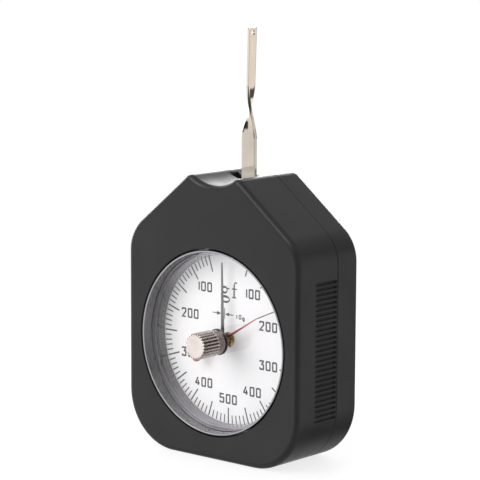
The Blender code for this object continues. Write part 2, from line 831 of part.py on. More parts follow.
def plate_outline(half_width, low, high):
    """A plate with rounded corners that are centred on its fixings."""
    right = half_width + PLATE_EAR
    return rounded(
        [
            (right, low - PLATE_EAR, PLATE_EAR),
            (right, high + PLATE_EAR, PLATE_EAR),
            (-right, high + PLATE_EAR, PLATE_EAR),
            (-right, low - PLATE_EAR, PLATE_EAR),
        ]
    )


def stop_offset():
    """How far the stops stand from the middle, so that the strip meets them at its limits."""
    edge = STRIP_WIDTH / 2 / math.cos(SWING_LIMIT)
    return STOP_RISE * math.tan(SWING_LIMIT) + edge + STOP_RADIUS + STOP_CLEARANCE


def stop_places():
    return mirrored([(stop_offset(), PIVOT_RISE + STOP_RISE)])


def anchor_places():
    return mirrored([(SPRING_OFFSET, PIVOT_RISE - SPRING_SPAN)])


def stud_place():
    return HAIRSPRING_OUTER_RADIUS + STUD_RADIUS + HAIRSPRING_THICKNESS / 2 + FIT, 0.0


def movement_plates(frame):
    outline = plate_outline(MOVEMENT_SCREW_X, MOVEMENT_SCREW_BOTTOM, MOVEMENT_SCREW_TOP)
    front = plate("front_plate", frame, brass(), outline, FRONT_PLATE, FRONT_PLATE_REAR)
    bush = ARBOR_PIVOT_RADIUS + RUNNING_FIT + BUSH_WALL + RUNNING_FIT
    shaft_bush = SHAFT_FRONT_RADIUS + RUNNING_FIT + BUSH_WALL + RUNNING_FIT
    bearings = [(0.0, PIVOT_RISE, bush), (0.0, 0.0, shaft_bush)]
    front_holes = (
        with_radius(movement_screw_places(), MOVEMENT_SCREW_RADIUS + PASSING_CLEARANCE)
        + with_radius(pillar_places(), PILLAR_TENON_RADIUS + RUNNING_FIT)
        + with_radius(stop_places(), STOP_RADIUS + RUNNING_FIT)
        + bearings
    )
    near = FRONT_PLATE - OVERRUN
    cut(front, bores("front_plate_holes", frame, front_holes, near, FRONT_PLATE_REAR + OVERRUN))
    outline = plate_outline(MOVEMENT_SCREW_X, PILLAR_BOTTOM, PILLAR_TOP)
    back = plate("back_plate", frame, brass(), outline, BACK_PLATE, BACK_PLATE_REAR)
    stud_x, stud_z = stud_place()
    back_holes = (
        with_radius(pillar_places(), PILLAR_SCREW_RADIUS + PASSING_CLEARANCE)
        + with_radius(anchor_places(), POST_RADIUS + RUNNING_FIT)
        + [(stud_x, stud_z, STUD_RADIUS + RUNNING_FIT)]
        + bearings
    )
    near = BACK_PLATE - OVERRUN
    cut(back, bores("back_plate_holes", frame, back_holes, near, BACK_PLATE_REAR + OVERRUN))


def pillars(frame):
    """Spacers between the plates: riveted tenon in front, threaded bore behind."""
    start = FRONT_PLATE_REAR + FIT
    end = BACK_PLATE - FIT
    bore = PILLAR_SCREW_RADIUS + THREAD_CLEARANCE
    profile = [
        (0.0, FRONT_PLATE + FIT),
        (PILLAR_TENON_RADIUS, FRONT_PLATE + FIT),
        (PILLAR_TENON_RADIUS, start),
        (PILLAR_RADIUS, start),
        (PILLAR_RADIUS, end),
        (bore, end),
        (bore, end - PILLAR_BORE_DEPTH),
        (0.0, end - PILLAR_BORE_DEPTH),
    ]
    for i, (x, z) in enumerate(pillar_places(), 1):
        turned(f"plate_pillar_{i}", frame, brass(), profile, PIN_STEPS, x, z)


def bushes(frame):
    """The four bearing bushes, each a little proud of its plate's inner face."""
    front = (BUSH_FRONT_END, BUSH_INNER_FRONT)
    back = (BUSH_INNER_BACK, BACK_PLATE_REAR - FIT)
    lever_bore = ARBOR_PIVOT_RADIUS + RUNNING_FIT
    shaft_bore = SHAFT_FRONT_RADIUS + RUNNING_FIT
    pivot_bore = SHAFT_PIVOT_RADIUS + RUNNING_FIT
    for name, span, rise, bore, outer in (
        ("lever_bush_front", front, PIVOT_RISE, lever_bore, lever_bore + BUSH_WALL),
        ("lever_bush_back", back, PIVOT_RISE, lever_bore, lever_bore + BUSH_WALL),
        ("shaft_bush_front", front, 0.0, shaft_bore, shaft_bore + BUSH_WALL),
        ("shaft_bush_back", back, 0.0, pivot_bore, shaft_bore + BUSH_WALL),
    ):
        turned(name, frame, brass(), tube(*span, bore, outer), PIN_STEPS, 0.0, rise)


def stop_pins(frame):
    for (x, z), side in zip(stop_places(), ("right", "left")):
        profile = rod(FRONT_PLATE + FIT, STRIP_REAR + FIT, STOP_RADIUS)
        turned(f"stop_pin_{side}", frame, steel(), profile, PIN_STEPS, x, z)


def spring_anchors(frame):
    """Posts on the back plate that hold the lower loops of the range springs."""
    profile = [
        (0.0, POST_FRONT),
        (POST_RADIUS, POST_FRONT),
        (POST_RADIUS, SPRING_DEPTH + POST_REACH),
        (POST_COLLAR_RADIUS, SPRING_DEPTH + POST_REACH),
        (POST_COLLAR_RADIUS, BACK_PLATE - FIT),
        (POST_RADIUS, BACK_PLATE - FIT),
        (POST_RADIUS, BACK_PLATE_REAR - FIT),
        (0.0, BACK_PLATE_REAR - FIT),
    ]
    for (x, z), side in zip(anchor_places(), ("right", "left")):
        turned(f"spring_anchor_{side}", frame, steel(), profile, PIN_STEPS, x, z)


def hairspring_stud(frame):
    x, z = stud_place()
    profile = rod(COLLET_FRONT, BACK_PLATE_REAR - FIT, STUD_RADIUS)
    turned("hairspring_stud", frame, steel(), profile, PIN_STEPS, x, z)


def hairspring(frame):
    """Flat spiral from the collet out to the stud, each turn clear of the next."""
    inner = COLLET_RADIUS + HAIRSPRING_THICKNESS / 2 + FIT
    turns = HAIRSPRING_TURNS
    middle = COLLET_FRONT + COLLET_THICKNESS / 2
    steps = turns * HAIRSPRING_POINTS
    sections = []
    bm = bmesh.new()
    for k in range(steps + 1):
        angle = math.tau * turns * k / steps
        radius = inner + (HAIRSPRING_OUTER_RADIUS - inner) * k / steps
        section = []
        for side, rear in ((-1, -1), (1, -1), (1, 1), (-1, 1)):
            reach = radius + side * HAIRSPRING_THICKNESS / 2
            depth = middle + rear * HAIRSPRING_WIDTH / 2
            section.append(bm.verts.new((reach * math.cos(angle), depth, reach * math.sin(angle))))
        sections.append(section)
    bridge_rings(bm, sections)
    finish_mesh(bm, "hairspring", frame, steel())
    gap = (HAIRSPRING_OUTER_RADIUS - inner) / turns - HAIRSPRING_THICKNESS
    print(f"hairspring: least gap to itself {gap * 1000:.2f} mm")


def strip_section(rise):
    """Width, thickness, twist and depth of the lever's middle at a height above its pivot."""
    if rise <= STRIP_TAPER_END:
        share = max(0.0, (rise - STRIP_TAPER_START) / (STRIP_TAPER_END - STRIP_TAPER_START))
        width = STRIP_WIDTH + (NECK_WIDTH - STRIP_WIDTH) * share * share
    else:
        share = min(1.0, (rise - STRIP_TAPER_END) / (TWIST_END - STRIP_TAPER_END))
        width = NECK_WIDTH + (BLADE_ROOT_WIDTH - NECK_WIDTH) * share
    share = min(1.0, max(0.0, (rise - TWIST_START) / (TWIST_END - TWIST_START)))
    eased = share * share * (3 - 2 * share)
    lean = BLADE_ROOT_LEAN * eased
    if rise > TWIST_END:
        up = (rise - TWIST_END) / (BLADE_TIP_RISE - TWIST_END)
        width = BLADE_ROOT_WIDTH + (BLADE_TIP_WIDTH - BLADE_ROOT_WIDTH) * up
        lean = BLADE_ROOT_LEAN + (BLADE_TIP_LEAN - BLADE_ROOT_LEAN) * up
    thickness = STRIP_THICKNESS + (BLADE_THICKNESS - STRIP_THICKNESS) * eased
    depth = STRIP_FRONT + STRIP_THICKNESS / 2 + lean
    return width, thickness, TWIST_ANGLE * eased, depth


def section_corners(rise, trim=0.0):
    width, thickness, twist, depth = strip_section(rise)
    corners = []
    for across, through in ((1, -1), (1, 1), (-1, 1), (-1, -1)):
        along = across * (width / 2 - trim)
        off = through * thickness / 2
        x = along * math.cos(twist) - off * math.sin(twist)
        y = along * math.sin(twist) + off * math.cos(twist)
        corners.append((x, depth + y, rise))
    return corners


def strip_rises():
    """Heights of the lofted sections: the taper, the twist and the blade."""
    rises = []
    taper = STRIP_TAPER_END - STRIP_TAPER_START
    for k in range(1, TAPER_SECTIONS + 1):
        rises.append(STRIP_TAPER_START + taper * k / TAPER_SECTIONS)
    for k in range(TWIST_SECTIONS + 1):
        rises.append(TWIST_START + (TWIST_END - TWIST_START) * k / TWIST_SECTIONS)
    rises.append(BLADE_TIP_RISE - BLADE_CORNER)
    return rises


def feeler_lever(frame):
    """Contact lever: a flat strip with a round eye, twisted a quarter turn into an upright blade."""
    half = STRIP_WIDTH / 2
    start = math.asin(half / STRIP_EYE_RADIUS)
    outline = [(half, STRIP_TAPER_START), (-half, STRIP_TAPER_START)]
    sweep = math.tau - 2 * start
    for k in range(HUB_STEPS + 1):
        angle = start + sweep * k / HUB_STEPS
        outline.append((-STRIP_EYE_RADIUS * math.sin(angle), STRIP_EYE_RADIUS * math.cos(angle)))
    bm = bmesh.new()
    extrude(bm, outline, STRIP_FRONT, STRIP_REAR)
    level = STRIP_TAPER_START - WELD_DISTANCE
    top = next(face for face in bm.faces if all(v.co.z > level for v in face.verts))
    below = section_corners(STRIP_TAPER_START)
    for rise, trim in [(rise, 0.0) for rise in strip_rises()] + [(BLADE_TIP_RISE, BLADE_CORNER)]:
        grown = bmesh.ops.extrude_face_region(bm, geom=[top])
        bmesh.ops.delete(bm, geom=[top], context="FACES_ONLY")
        top = next(item for item in grown["geom"] if isinstance(item, bmesh.types.BMFace))
        above = section_corners(rise, trim)
        for vert in top.verts:
            gaps = [(vert.co.x - x) ** 2 + (vert.co.y - y) ** 2 for x, y, _ in below]
            vert.co = above[gaps.index(min(gaps))]
        below = above
    strip = finish_mesh(bm, "feeler_lever", frame, nickel())
    near = STRIP_FRONT - OVERRUN
    holes = clamped_holes()
    cut(strip, bores("strip_holes", frame, holes, near, STRIP_REAR + OVERRUN))
    bm = bmesh.new()
    height = BLADE_TIP_RISE - BLADE_HOLE_DROP
    depth = strip_section(height)[3]
    bored = []
    for end in (-1, 1):
        ring = []
        for k in range(PIN_STEPS):
            angle = math.tau * k / PIN_STEPS
            y = depth + BLADE_HOLE_RADIUS * math.cos(angle)
            ring.append(bm.verts.new((end * OVERRUN, y, height + BLADE_HOLE_RADIUS * math.sin(angle))))
        bored.append(ring)
    bridge_rings(bm, bored)
    cut(strip, finish_mesh(bm, "blade_hole", frame))


def clamped_holes():
    """Holes for the arbor and the two dowels, the same in every piece clamped on the arbor."""
    dowels = with_radius(mirrored([(DOWEL_OFFSET, 0.0)]), DOWEL_RADIUS + FIT)
    return [(0.0, 0.0, ARBOR_RADIUS + FIT)] + dowels


def lever_arbor(frame):
    """Lever shaft: a pivot at each end and a collar that the clamped stack seats on."""
    body_front = BUSH_INNER_FRONT + END_SHAKE
    body_rear = BUSH_INNER_BACK - END_SHAKE
    profile = [
        (0.0, BUSH_FRONT_END + END_SHAKE),
        (ARBOR_PIVOT_RADIUS, BUSH_FRONT_END + END_SHAKE),
        (ARBOR_PIVOT_RADIUS, body_front),
        (ARBOR_RADIUS, body_front),
        (ARBOR_RADIUS, COLLAR_FRONT),
        (ARBOR_COLLAR_RADIUS, COLLAR_FRONT),
        (ARBOR_COLLAR_RADIUS, COLLAR_REAR),
        (ARBOR_RADIUS, COLLAR_REAR),
        (ARBOR_RADIUS, body_rear),
        (ARBOR_PIVOT_RADIUS, body_rear),
        (ARBOR_PIVOT_RADIUS, BACK_PLATE_REAR - END_SHAKE),
        (0.0, BACK_PLATE_REAR - END_SHAKE),
    ]
    turned("lever_arbor", frame, steel(), profile, PIN_STEPS)


def lever_hub(frame):
    hub = turned(
        "lever_hub", frame, brass(), rod(HUB_FRONT, HUB_REAR, STRIP_EYE_RADIUS), HUB_STEPS
    )
    cut(hub, bores("hub_holes", frame, clamped_holes(), HUB_FRONT - OVERRUN, HUB_REAR + OVERRUN))


def lever_dowels(frame):
    profile = rod(SECTOR_FRONT + FIT, ARM_REAR - FIT, DOWEL_RADIUS)
    for side, name in ((1, "right"), (-1, "left")):
        turned(f"lever_dowel_{name}", frame, steel(), profile, PIN_STEPS, side * DOWEL_OFFSET, 0.0)


def arbor_nut(frame):
    corners = []
    for k in range(NUT_SIDES):
        angle = math.tau * k / NUT_SIDES
        corners.append((NUT_RADIUS * math.cos(angle), NUT_RADIUS * math.sin(angle)))
    nut = plate("arbor_nut", frame, steel(), corners, NUT_FRONT, NUT_REAR)
    hole = [(0.0, 0.0, ARBOR_RADIUS + THREAD_CLEARANCE)]
    cut(nut, bores("nut_thread", frame, hole, NUT_FRONT - OVERRUN, NUT_REAR + OVERRUN))


def spring_arm(frame):
    """Cross arm clamped behind the lever, with an ear over each range spring."""
    eye = STRIP_EYE_RADIUS
    reach = SPRING_OFFSET + EAR_RADIUS
    bar = rounded(
        [
            (reach, -EAR_RADIUS, EAR_RADIUS),
            (reach, EAR_RADIUS, EAR_RADIUS),
            (eye, EAR_RADIUS, 0.0),
            (EAR_RADIUS, eye, EAR_RADIUS),
            (-EAR_RADIUS, eye, EAR_RADIUS),
            (-eye, EAR_RADIUS, 0.0),
            (-reach, EAR_RADIUS, EAR_RADIUS),
            (-reach, -EAR_RADIUS, EAR_RADIUS),
            (-eye, -EAR_RADIUS, 0.0),
            (-EAR_RADIUS, -eye, EAR_RADIUS),
            (EAR_RADIUS, -eye, EAR_RADIUS),
            (eye, -EAR_RADIUS, 0.0),
        ]
    )
    arm = plate("spring_arm", frame, steel(), bar, ARM_FRONT, ARM_REAR)
    ears = with_radius(mirrored([(SPRING_OFFSET, 0.0)]), POST_RADIUS + FIT)
    holes = clamped_holes() + ears
    cut(arm, bores("arm_holes", frame, holes, ARM_FRONT - OVERRUN, ARM_REAR + OVERRUN))


def ear_pins(frame):
    """Pins riveted in the arm's ears, which the springs' upper loops hang on."""
    for side, name in ((1, "right"), (-1, "left")):
        profile = rod(POST_FRONT, ARM_REAR - FIT, POST_RADIUS)
        turned(f"ear_pin_{name}", frame, steel(), profile, PIN_STEPS, side * SPRING_OFFSET, 0.0)


def spring_route():
    """A tension spring's wire: coil on the middle, an eye at each end round its pin."""
    half_coil = SPRING_SPAN / 2 - SPRING_END_RISE
    points = []
    steps = SPRING_TURNS * CURL_POINTS
    for k in range(steps + 1):
        share = k / steps
        angle = math.tau * SPRING_TURNS * share
        height = half_coil * (2 * share - 1)
        points.append((SPRING_RADIUS * math.cos(angle), SPRING_RADIUS * math.sin(angle), height))
    upper = []
    chord = LOOP_TURN_SHARE * math.tau / LOOP_POINTS
    radius = SPRING_LOOP_RADIUS / math.cos(chord / 2)
    for k in range(LOOP_POINTS + 1):
        x = radius * math.cos(chord * k)
        upper.append((x, 0.0, SPRING_SPAN / 2 + radius * math.sin(chord * k)))
    lower = [(x, -y, -z) for x, y, z in reversed(upper)]
    return lower + points + upper


def least_gap(route, wire, apart):
    """The least distance between the wire's surfaces at points that are not near along it."""
    least = math.inf
    for i, first in enumerate(route):
        for second in route[i + apart :]:
            least = min(least, math.dist(first, second))
    return least - wire


def range_springs(frame):
    route = spring_route()
    gap = least_gap(route, SPRING_WIRE, CURL_POINTS - 2)
    print(f"range spring: least gap to itself {gap * 1000:.2f} mm")
    for side, name in ((1, "right"), (-1, "left")):
        curve = bpy.data.curves.new(f"range_spring_{name}", "CURVE")
        curve.dimensions = "3D"
        curve.bevel_depth = SPRING_WIRE / 2
        curve.bevel_resolution = 1
        curve.use_fill_caps = True
        line = curve.splines.new("POLY")
        line.points.add(len(route) - 1)
        for point, (x, y, z) in zip(line.points, route):
            point.co = (side * SPRING_OFFSET + x, SPRING_DEPTH + y, z - SPRING_SPAN / 2, 1.0)
        curve.materials.append(steel())
        spring = bpy.data.objects.new(curve.name, curve)
        bpy.context.scene.collection.objects.link(spring)
        spring.parent = frame


def face_curve(base, generator, height):
    """How far a cycloidal tooth face has drawn in at a height above its pitch circle."""
    low = 0.0
    high = math.pi
    for _ in range(FACE_HALVINGS):
        roll = (low + high) / 2
        ratio = (base + generator) / generator
        turn = roll / ratio
        x = (base + generator) * math.cos(turn) - generator * math.cos(turn * ratio)
        y = (base + generator) * math.sin(turn) - generator * math.sin(turn * ratio)
        if math.hypot(x, y) < base + height:
            low = roll
        else:
            high = roll
    return abs(math.atan2(y, x))


def sector_tooth(middle):
    """Outline of one wheel tooth about the lever's axis: radial flanks and cycloidal faces."""
    half = TOOTH_WIDTH / 2 / WHEEL_RADIUS
    generator = PINION_RADIUS / 2
    root = WHEEL_RADIUS - WHEEL_DEDENDUM
    sides = [(root, half), (WHEEL_RADIUS, half)]
    for share in TOOTH_FACE_SHARES:
        height = WHEEL_ADDENDUM * share
        sides.append((WHEEL_RADIUS + height, half - face_curve(WHEEL_RADIUS, generator, height)))
    rising = [(radius, middle - angle) for radius, angle in sides]
    falling = [(radius, middle + angle) for radius, angle in reversed(sides)]
    return rising + falling


def below_axis(radius, angle):
    """A point at this angle from straight down, anticlockwise as the dial is seen."""
    return radius * math.sin(angle), -radius * math.cos(angle)


def sector_gear(frame):
    """Toothed sector on the lever's arbor, with a window that lightens it."""
    step = math.tau / WHEEL_TEETH
    half_span = SECTOR_TEETH * step / 2
    outline = []
    for k in range(SECTOR_TEETH):
        middle = (k - (SECTOR_TEETH - 1) / 2) * step
        outline += [below_axis(*point) for point in sector_tooth(middle)]
    rim = WHEEL_RADIUS - SECTOR_RIM
    outline.append(below_axis(rim, half_span))
    neck = math.pi * SECTOR_SPOKE_SHARE
    for k in range(HUB_STEPS // 2 + 1):
        angle = neck + (math.tau - 2 * neck) * k / (HUB_STEPS // 2)
        outline.append(below_axis(STRIP_EYE_RADIUS, angle))
    outline.append(below_axis(rim, -half_span))
    sector = plate("sector_gear", frame, brass(), outline, SECTOR_FRONT, SECTOR_REAR)
    near = SECTOR_FRONT - OVERRUN
    far = SECTOR_REAR + OVERRUN
    cut(sector, bores("sector_holes", frame, clamped_holes(), near, far))
    low = rim - WINDOW_MARGIN / 2
    low_half = low * math.sin(half_span) - WINDOW_MARGIN
    high_half = STRIP_EYE_RADIUS / 2
    fillet = WINDOW_MARGIN / 2
    window = rounded(
        [
            (low_half, -low, fillet),
            (high_half, -WINDOW_NEAR, fillet),
            (-high_half, -WINDOW_NEAR, fillet),
            (-low_half, -low, fillet),
        ]
    )
    cut(sector, plate("sector_window", frame, None, window, near, far))


def pinion(frame):
    """Ten-leaf pinion: radial flanks, rounded tips, one gap facing the sector's middle tooth."""
    half = LEAF_WIDTH / 2 / PINION_RADIUS
    root = PINION_RADIUS - PINION_DEDENDUM
    tip = PINION_RADIUS + LEAF_WIDTH / 2
    step = math.tau / PINION_LEAVES
    outline = []
    for k in range(PINION_LEAVES):
        middle = (k + 0.5) * step
        for radius, share in ((root, 1.0), (PINION_RADIUS, 1.0), (tip, LEAF_TIP_SHARE)):
            angle = middle - half * share
            outline.append((radius * math.sin(angle), radius * math.cos(angle)))
        for radius, share in ((tip, LEAF_TIP_SHARE), (PINION_RADIUS, 1.0), (root, 1.0)):
            angle = middle + half * share
            outline.append((radius * math.sin(angle), radius * math.cos(angle)))
    near = SECTOR_FRONT - PINION_OVERLAP
    far = SECTOR_REAR + PINION_OVERLAP
    leaves = plate("pinion", frame, steel(), outline, near, far)
    hole = [(0.0, 0.0, SHAFT_RADIUS + FIT)]
    cut(leaves, bores("pinion_bore", frame, hole, near - OVERRUN, far + OVERRUN))


def pointer_shaft(frame):
    body_front = BUSH_INNER_FRONT + END_SHAKE
    body_rear = BUSH_INNER_BACK - END_SHAKE
    profile = [
        (0.0, ZERO_POINTER_DEPTH),
        (SHAFT_FRONT_RADIUS, ZERO_POINTER_DEPTH),
        (SHAFT_FRONT_RADIUS, body_front),
        (SHAFT_RADIUS, body_front),
        (SHAFT_RADIUS, body_rear),
        (SHAFT_PIVOT_RADIUS, body_rear),
        (SHAFT_PIVOT_RADIUS, BACK_PLATE_REAR - END_SHAKE),
        (0.0, BACK_PLATE_REAR - END_SHAKE),
    ]
    turned("pointer_shaft", frame, steel(), profile, PIN_STEPS)


def hairspring_collet(frame):
    profile = tube(
        COLLET_FRONT,
        COLLET_FRONT + COLLET_THICKNESS,
        SHAFT_RADIUS + FIT,
        COLLET_RADIUS,
    )
    turned("hairspring_collet", frame, brass(), profile, HUB_STEPS)


def pointer_hub(frame):
    """Brass hub pressed on the shaft, with the neck that the pointer is riveted to."""
    bore = SHAFT_FRONT_RADIUS + FIT
    shoulder = ZERO_POINTER_DEPTH + POINTER_THICKNESS + FIT
    profile = [
        (bore, ZERO_POINTER_DEPTH - FIT),
        (POINTER_NECK_RADIUS, ZERO_POINTER_DEPTH - FIT),
        (POINTER_NECK_RADIUS, shoulder),
        (POINTER_HUB_RADIUS, shoulder),
        (POINTER_HUB_RADIUS, POINTER_HUB_REAR_DEPTH),
        (bore, POINTER_HUB_REAR_DEPTH),
    ]
    turned("pointer_hub", frame, brass(), profile, HUB_STEPS)


def eye_arc(radius, start, sweep):
    """Points on a pointer's round eye, clockwise from straight up."""
    steps = max(2, round(sweep / math.tau * HUB_STEPS))
    points = []
    for k in range(steps + 1):
        angle = start + sweep * k / steps
        points.append((radius * math.sin(angle), radius * math.cos(angle)))
    return points


def zero_pointer(frame):
    """Long tapering pointer of the load, at zero."""
    half_root = ZERO_POINTER_ROOT_WIDTH / 2
    half_tip = ZERO_POINTER_TIP_WIDTH / 2
    start = math.asin(half_root / POINTER_EYE_RADIUS)
    outline = [(-half_tip, ZERO_POINTER_REACH), (half_tip, ZERO_POINTER_REACH)]
    outline += eye_arc(POINTER_EYE_RADIUS, start, math.tau - 2 * start)
    far = ZERO_POINTER_DEPTH + POINTER_THICKNESS
    pointer = plate("zero_pointer", frame, pointer_black(), outline, ZERO_POINTER_DEPTH, far)
    hole = [(0.0, 0.0, POINTER_NECK_RADIUS + FIT)]
    near = ZERO_POINTER_DEPTH - OVERRUN
    cut(pointer, bores("zero_eye", frame, hole, near, far + OVERRUN, HUB_STEPS))


def peak_pointer(frame):
    """Slim peak pointer: slightly bent tip, tail with a round counterweight."""
    half_root = PEAK_POINTER_ROOT_WIDTH / 2
    half_tip = PEAK_POINTER_TIP_WIDTH / 2
    half_tail = PEAK_TAIL_WIDTH / 2
    eye = PEAK_HUB_RADIUS + half_tail
    start = math.asin(half_root / eye)
    tail_start = math.asin(half_tail / eye)
    weight_start = math.asin(half_tail / PEAK_WEIGHT_RADIUS)
    outline = [
        (PEAK_TIP_DRIFT - half_tip, PEAK_POINTER_REACH),
        (PEAK_TIP_DRIFT + half_tip, PEAK_POINTER_REACH),
        (half_tip, PEAK_BEND_RADIUS),
    ]
    outline += eye_arc(eye, start, math.pi - start - tail_start)
    for x, z in eye_arc(PEAK_WEIGHT_RADIUS, weight_start, math.tau - 2 * weight_start):
        outline.append((x, z - PEAK_TAIL_REACH))
    outline += eye_arc(eye, math.pi + tail_start, math.pi - start - tail_start)
    outline.append((-half_tip, PEAK_BEND_RADIUS))
    far = PEAK_POINTER_DEPTH + POINTER_THICKNESS
    pointer = plate("peak_pointer", frame, pointer_red(), outline, PEAK_POINTER_DEPTH, far)
    hole = [(0.0, 0.0, PEAK_NECK_RADIUS + FIT)]
    near = PEAK_POINTER_DEPTH - OVERRUN
    cut(pointer, bores("peak_eye", frame, hole, near, far + OVERRUN, HUB_STEPS))


def peak_hub(frame):
    """Small hub behind the crystal that holds the peak pointer on the knob's spindle."""
    bore = SPINDLE_RADIUS + FIT
    flange_rear = PEAK_POINTER_DEPTH - FIT
    profile = [
        (bore, CRYSTAL_REAR + BUSHING_PROUD + END_SHAKE),
        (PEAK_HUB_RADIUS, CRYSTAL_REAR + BUSHING_PROUD + END_SHAKE),
        (PEAK_HUB_RADIUS, flange_rear),
        (PEAK_NECK_RADIUS, flange_rear),
        (PEAK_NECK_RADIUS, PEAK_HUB_REAR_DEPTH),
        (bore, PEAK_HUB_REAR_DEPTH),
    ]
    turned("peak_hub", frame, brass(), profile, HUB_STEPS)


def knob_spindle(frame):
    profile = rod(KNOB_REAR - KNOB_BORE_DEPTH + FIT, SPINDLE_END, SPINDLE_RADIUS)
    turned("knob_spindle", frame, steel(), profile, PIN_STEPS)


def friction_washer(frame):
    """Dished spring washer in the knob's foot that holds the peak pointer where it was pushed."""
    inner = SPINDLE_RADIUS + RUNNING_FIT
    high = KNOB_REAR - KNOB_RECESS_DEPTH + FIT
    low = KNOB_REAR - FIT
    thickness = FRICTION_WASHER_THICKNESS
    profile = [
        (inner, high),
        (FRICTION_WASHER_RADIUS, low - thickness),
        (FRICTION_WASHER_RADIUS, low),
        (inner, high + thickness),
    ]
    turned("friction_washer", frame, steel(), profile, HUB_STEPS)


def knob_ring(bm, depth, crest, groove):
    """One ring of the knob's loft, its points alternating between crest and groove."""
    ring = []
    count = KNOB_FLUTES * KNOB_POINTS_PER_FLUTE
    for k in range(count):
        angle = math.tau * k / count
        radius = groove if k % KNOB_POINTS_PER_FLUTE == 0 else crest
        ring.append(bm.verts.new((radius * math.cos(angle), depth, radius * math.sin(angle))))
    return ring


def reset_knob(frame):
    """Fluted knob with a smooth collar, bored from behind for its spindle and washer."""
    groove = KNOB_RADIUS - FLUTE_DEPTH
    face = groove - KNOB_FACE_DROP
    fluted_end = KNOB_FRONT + KNOB_FLUTED_LENGTH
    bm = bmesh.new()
    rings = [
        knob_ring(bm, KNOB_FRONT, face, face),
        knob_ring(bm, KNOB_FRONT + KNOB_CHAMFER, KNOB_RADIUS, groove),
        knob_ring(bm, fluted_end - KNOB_CHAMFER, KNOB_RADIUS, groove),
        knob_ring(bm, fluted_end, KNOB_COLLAR_RADIUS, KNOB_COLLAR_RADIUS),
        knob_ring(bm, KNOB_REAR - KNOB_FOOT_HEIGHT, KNOB_COLLAR_RADIUS, KNOB_COLLAR_RADIUS),
        knob_ring(bm, KNOB_REAR, KNOB_FOOT_RADIUS, KNOB_FOOT_RADIUS),
    ]
    bridge_rings(bm, rings)
    knob = finish_mesh(bm, "reset_knob", frame, nickel())
    bore = SPINDLE_RADIUS + FIT
    hollow = turned(
        "knob_bore",
        frame,
        None,
        [
            (0.0, KNOB_REAR - KNOB_BORE_DEPTH),
            (bore, KNOB_REAR - KNOB_BORE_DEPTH),
            (bore, KNOB_REAR - KNOB_RECESS_DEPTH),
            (KNOB_RECESS_RADIUS, KNOB_REAR - KNOB_RECESS_DEPTH),
            (KNOB_RECESS_RADIUS, KNOB_REAR + OVERRUN),
            (0.0, KNOB_REAR + OVERRUN),
        ],
        HUB_STEPS,
    )
    cut(knob, hollow)


def build():
    clear_scene()
    case = axis_frame("case_frame", AXIS_HEIGHT)
    lever = axis_frame("lever_axis", AXIS_HEIGHT + PIVOT_RISE)
    pointer = axis_frame("pointer_axis", AXIS_HEIGHT)
    zero = axis_frame("zero_pointer_axis", AXIS_HEIGHT, ZERO_POINTER_ANGLE)
    peak = axis_frame("peak_axis", AXIS_HEIGHT, PEAK_ANGLE)
    for piece in (
        front_housing,
        rear_cover,
        cover_screws,
        bezel_ring,
        crystal,
        knob_bushing,
        dial_plate,
        movement_plates,
        movement_screws,
        pillars,
        pillar_screws,
        bushes,
        stop_pins,
        spring_anchors,
        hairspring_stud,
        hairspring,
    ):
        piece(case)
    for piece in (
        feeler_lever,
        lever_arbor,
        lever_hub,
        lever_dowels,
        sector_gear,
        spring_arm,
        ear_pins,
        arbor_nut,
        range_springs,
    ):
        piece(lever)
    for piece in (pointer_shaft, pinion, hairspring_collet, pointer_hub):
        piece(pointer)
    zero_pointer(zero)
    for piece in (reset_knob, knob_spindle, friction_washer, peak_hub, peak_pointer):
        piece(peak)
    bpy.context.view_layer.update()


build()
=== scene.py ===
"""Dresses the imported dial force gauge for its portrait.

The scene is in metres, +Z up, and the dial faces -Y. Sizes and places on the gauge are
in millimetres: x, the depth behind the casing's front and the rise above the dial's axis.
"""

import cmath
import json
import math

import bmesh
import bpy
from mathutils import Matrix, Vector

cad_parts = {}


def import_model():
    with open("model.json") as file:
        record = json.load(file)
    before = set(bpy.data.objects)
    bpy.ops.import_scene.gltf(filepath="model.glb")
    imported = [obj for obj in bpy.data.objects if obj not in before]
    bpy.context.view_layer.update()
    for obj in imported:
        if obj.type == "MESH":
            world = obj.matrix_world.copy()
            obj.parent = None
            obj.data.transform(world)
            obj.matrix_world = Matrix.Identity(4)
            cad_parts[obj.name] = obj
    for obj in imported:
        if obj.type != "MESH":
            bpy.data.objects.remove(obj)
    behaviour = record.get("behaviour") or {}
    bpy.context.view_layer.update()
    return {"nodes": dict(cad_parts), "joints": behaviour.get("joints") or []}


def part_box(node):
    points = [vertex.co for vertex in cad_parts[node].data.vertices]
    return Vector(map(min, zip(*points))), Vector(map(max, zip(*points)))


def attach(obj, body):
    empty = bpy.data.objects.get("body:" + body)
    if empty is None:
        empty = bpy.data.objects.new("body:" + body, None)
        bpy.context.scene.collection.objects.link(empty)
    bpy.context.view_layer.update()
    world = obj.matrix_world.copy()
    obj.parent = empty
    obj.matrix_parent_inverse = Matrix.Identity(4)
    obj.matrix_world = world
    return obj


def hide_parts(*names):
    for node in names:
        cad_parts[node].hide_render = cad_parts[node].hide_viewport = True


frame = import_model()

# Millimetres in a metre
MM = 1000.0

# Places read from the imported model
CASE_LOW, CASE_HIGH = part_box("front_housing")
_, COVER_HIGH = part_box("rear_cover")
JOINTS = {joint["name"]: joint for joint in frame["joints"]}
FRONT = CASE_LOW[1]
AXIS = JOINTS["pointer_spin"]["pos_m"][2]
PIVOT = (JOINTS["lever_swing"]["pos_m"][2] - AXIS) * MM

